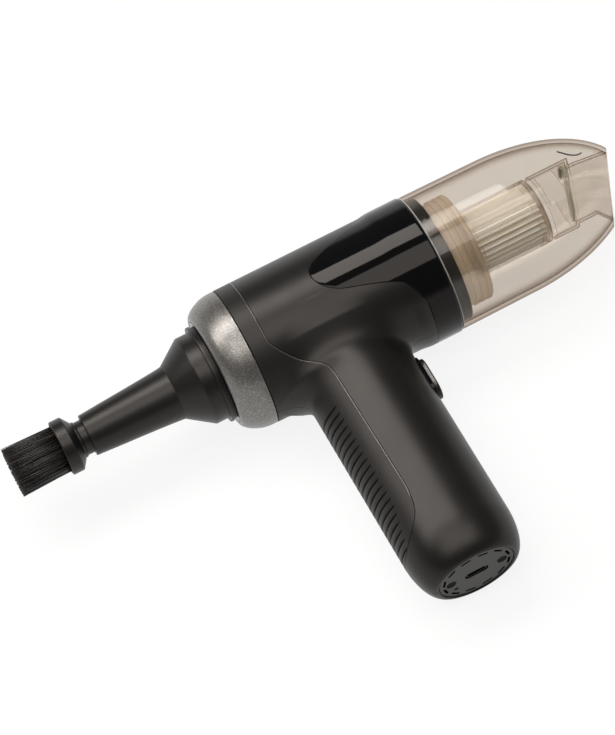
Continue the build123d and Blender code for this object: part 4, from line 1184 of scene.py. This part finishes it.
@dataclass
class FilterUnit:
    """Pleated filter in its clear cage on a sealed flange with three ridges."""

    start: float = 100.2
    front: float = 117.8
    ridge: float = 23.7
    groove: float = 22.9
    bore: float = 10.4
    cavity: tuple[float, float] = (107.2, 20.4)
    ridges: tuple[float, ...] = (109.4, 112.3, 115.2)
    ridge_width: float = 1.5
    ridge_slope: float = 0.3

    def flange(self) -> Piece:
        """Returns the flange as a turned piece."""
        outline = [(self.start, self.cavity[1], 0.1), (self.start, self.groove, 0.2)]
        for foot in self.ridges:
            near = foot + self.ridge_slope
            far = near + self.ridge_width
            outline += [(foot, self.groove, 0.1), (near, self.ridge, 0.15), (far, self.ridge, 0.15)]
            outline += [(far + self.ridge_slope, self.groove, 0.1)]
        outline += [(self.front, self.groove, 0.2), (self.front, self.bore, 0.2)]
        outline += [(self.cavity[0], self.bore, 0.2), (*self.cavity, 0.2)]
        return lathe("filter_flange", eased(outline, 2), 140, 25.0)

    def build(self) -> None:
        """Builds and mounts the filter's pieces."""
        mount(self.flange(), Finish.AMBER, Body.FILTER, "filter_base")
        mount(smooth_copy("filter_cage", "filter_sleeve"), Finish.CLEAR, Body.FILTER, "filter_cage")
        mount(smooth_copy("filter_cap", "filter_end"), Finish.CLEAR, Body.FILTER, "filter_cap")


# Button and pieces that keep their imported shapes


@dataclass
class Button:
    """Power button with a bright band, in its bezel on the front of the handle."""

    drop: float = 48.2
    height: float = 19.6
    width: float = 11.0
    bezel: Curve = ((70.9, 1.35), (74.1, 1.35), (74.35, 1.27), (74.5, 1.05))
    bezel_gap: float = 0.02
    cap: Curve = (
        (70.1, -0.15), (75.55, -0.15), (75.9, -0.2), (76.2, -0.36), (76.42, -0.65), (76.55, -1.1),
        (76.6, -1.7), (76.42, -3.2), (76.35, -4.6),
    )
    well: Curve = ((68.0, 1.42), (80.0, 1.42))

    def ring(self, x: float, grow: float) -> Points:
        """Returns the button's outline at x, grown by a distance."""
        straight, turn = (self.height - self.width) / 2, angles(96)
        lift = np.where(np.sin(turn) >= 0, straight, -straight) - self.drop
        return around(x, self.width / 2 + grow, turn) + np.stack([0 * turn, 0 * turn, lift], axis=1)

    def pocket(self) -> Piece:
        """Returns the pocket for the bezel as a tool."""
        return tubes("button_pocket", [[self.ring(*station) for station in self.well]], False, 35.0)

    def build(self) -> None:
        """Builds and mounts the bezel, cap and band."""
        hole = [self.ring(self.bezel[end][0], self.bezel_gap) for end in (-1, 0)]
        bezel = tubes("button_surround", [[self.ring(*station) for station in self.bezel] + hole], True, 35.0)
        mount(bezel, Finish.GLOSS, Body.MAIN, "button_bezel")
        cap = tubes("button_skin", [[self.ring(*station) for station in self.cap]], False, 35.0)
        mount(cap, Finish.SOFT_TOUCH, Body.BUTTON, "button_cap")
        mount(smooth_copy("button_trim", "button_band"), Finish.BRIGHT, Body.BUTTON, "button_trim")


@dataclass
class Kept:
    """Pieces of the foot, the filter and the inside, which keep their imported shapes."""

    finishes: tuple[tuple[Finish, tuple[str, ...]], ...] = (
        (Finish.PAPER, ("filter_pleats",)),
        (Finish.SOFT_TOUCH, ("base_plate",)),
        # The screws' near-black finish is painted shade for their wells.
        (Finish.PAINTED_WELL_SHADE, ("base_screws",)),
        (Finish.LENS, ("status_light",)),
        (Finish.SOCKET, ("charge_socket",)),
        (Finish.BOARD, ("charge_board", "control_board")),
        (Finish.INNER_BLACK, ("outlet_sleeve", "outlet_guard", "cup_spigot")),
        (Finish.GREY, ("fan_shroud", "fan", "cell_holder", "power_switch")),
        (Finish.CAN, ("motor_can",)),
        (Finish.STEEL, ("motor_shaft", "rear_bearing", "front_bearing", "case_screws", "flap_pin")),
        (Finish.RUBBER, ("rear_motor_mount", "front_motor_mount")),
        (Finish.CELL, ("battery_cells",)),
    )

    def build(self) -> None:
        """Dresses the nodes."""
        for finish, nodes in self.finishes:
            for node in nodes:
                dress(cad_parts[node], finish)
            LOG.info("%s: %s", finish.name, ", ".join(nodes))


# Studio


@dataclass
class Lamp:
    """Soft rectangular lamp that lies flat above the cleaner and shines down."""

    name: str
    place: tuple[float, float, float]
    size: tuple[float, float]
    glow: float
    colour: Colour = (1.0, 0.972, 0.945)

    def build(self) -> None:
        """Adds the lamp, its power worked out from its size and from how bright a mirror shows it."""
        data = bpy.data.lights.new(self.name, "AREA")
        data.shape, data.size, data.size_y = "RECTANGLE", *self.size
        data.energy, data.color = math.pi * self.size[0] * self.size[1] * self.glow, self.colour
        in_scene(self.name, data).location = self.place


@dataclass
class Studio:
    """Camera at the photograph's viewing angle, pale floor, soft lamps and a white surround."""

    eye: tuple[float, float, float] = (-142.323, -1261.089, -714.521)
    right: tuple[float, float, float] = (0.88679, 0.12206, -0.44576)
    up: tuple[float, float, float] = (0.44585, -0.47997, 0.75554)
    focal: float = 3552.07
    long_side: float = 735.0
    ambient: float = 0.15
    paper: float = 0.80
    paper_glow: float = 0.87
    floor_reach: float = 4.0
    floor_drop: float = 0.0004
    clear_layers: int = 24
    lamps: tuple[Lamp, ...] = (
        Lamp("key_lamp", (-0.63, 0.68, 1.35), (2.12, 0.64), 7.5),
        Lamp("near_lamp", (-0.10, -0.31, 1.35), (1.70, 0.74), 3.2),
    )

    def build(self) -> None:
        """Adds the camera, lamps, floor and surround."""
        self.camera()
        for lamp in self.lamps:
            lamp.build()
        self.floor()
        self.surround()
        bpy.context.scene.view_settings.view_transform = "Standard"
        bpy.context.scene.cycles.transparent_max_bounces = self.clear_layers

    def camera(self) -> None:
        """Adds the camera."""
        data = bpy.data.cameras.new("camera")
        data.sensor_fit, data.sensor_width = "AUTO", 36.0
        data.lens = self.focal / self.long_side * data.sensor_width
        data.clip_start, data.clip_end = 0.01, 50.0
        right, up = LYING.direction(self.right).normalized(), LYING.direction(self.up).normalized()
        back = right.cross(up).normalized()
        turn = Matrix((right, back.cross(right).normalized(), back)).transposed().to_4x4()
        camera = in_scene("camera", data)
        camera.matrix_world = Matrix.Translation(LYING.points(np.array([self.eye]))[0]) @ turn
        bpy.context.scene.camera = camera

    def floor(self) -> None:
        """Adds the pale floor, which shows white but keeps the cleaner's shadow."""
        mesh, r = bpy.data.meshes.new("floor"), self.floor_reach
        mesh.from_pydata([(-r, -r, 0), (r, -r, 0), (r, r, 0), (-r, r, 0)], [], [(0, 1, 2, 3)])
        floor = in_scene("floor", mesh)
        floor.location = (0, 0, -self.floor_drop)
        recipe = Recipe("studio_floor")
        seen = recipe.rays("Camera", "Glossy", "Transmission")
        paper = recipe.surface(Base_Color=(self.paper,) * 3, Roughness=0.9)
        white = recipe.term("ShaderNodeEmission", {}, (1.0, 1.0, 1.0), 1.0)
        mesh.materials.append(recipe.done(recipe.mix(seen * self.paper_glow, paper, white)))

    def surround(self) -> None:
        """Makes the world white to the camera, to glass and, near the horizon, to gloss; soft elsewhere."""
        recipe = Recipe("studio", world=True)
        height = recipe.term("ShaderNodeSeparateXYZ", {}, recipe.place, out=2)
        seen = recipe.rays("Camera", "Transmission") + recipe.rays("Glossy") * (1.0 - height.step(0.05, 0.3))
        soft = recipe.term("ShaderNodeBackground", {}, (1.0, 0.99, 0.975), self.ambient)
        white = recipe.term("ShaderNodeBackground", {}, (1.0, 1.0, 1.0), 1.0)
        bpy.context.scene.world = recipe.done(recipe.mix(seen, soft, white))


def main() -> None:
    """Builds every sub-assembly."""
    logging.basicConfig(level=logging.INFO, format="%(message)s")
    for part in (Studio, Housing, Panels, Outlet, Nozzle, Brush, Cup, FilterUnit, Button, Kept):
        part().build()
        LOG.info("%s built", part.__name__)


if __name__ == "__main__":
    main()
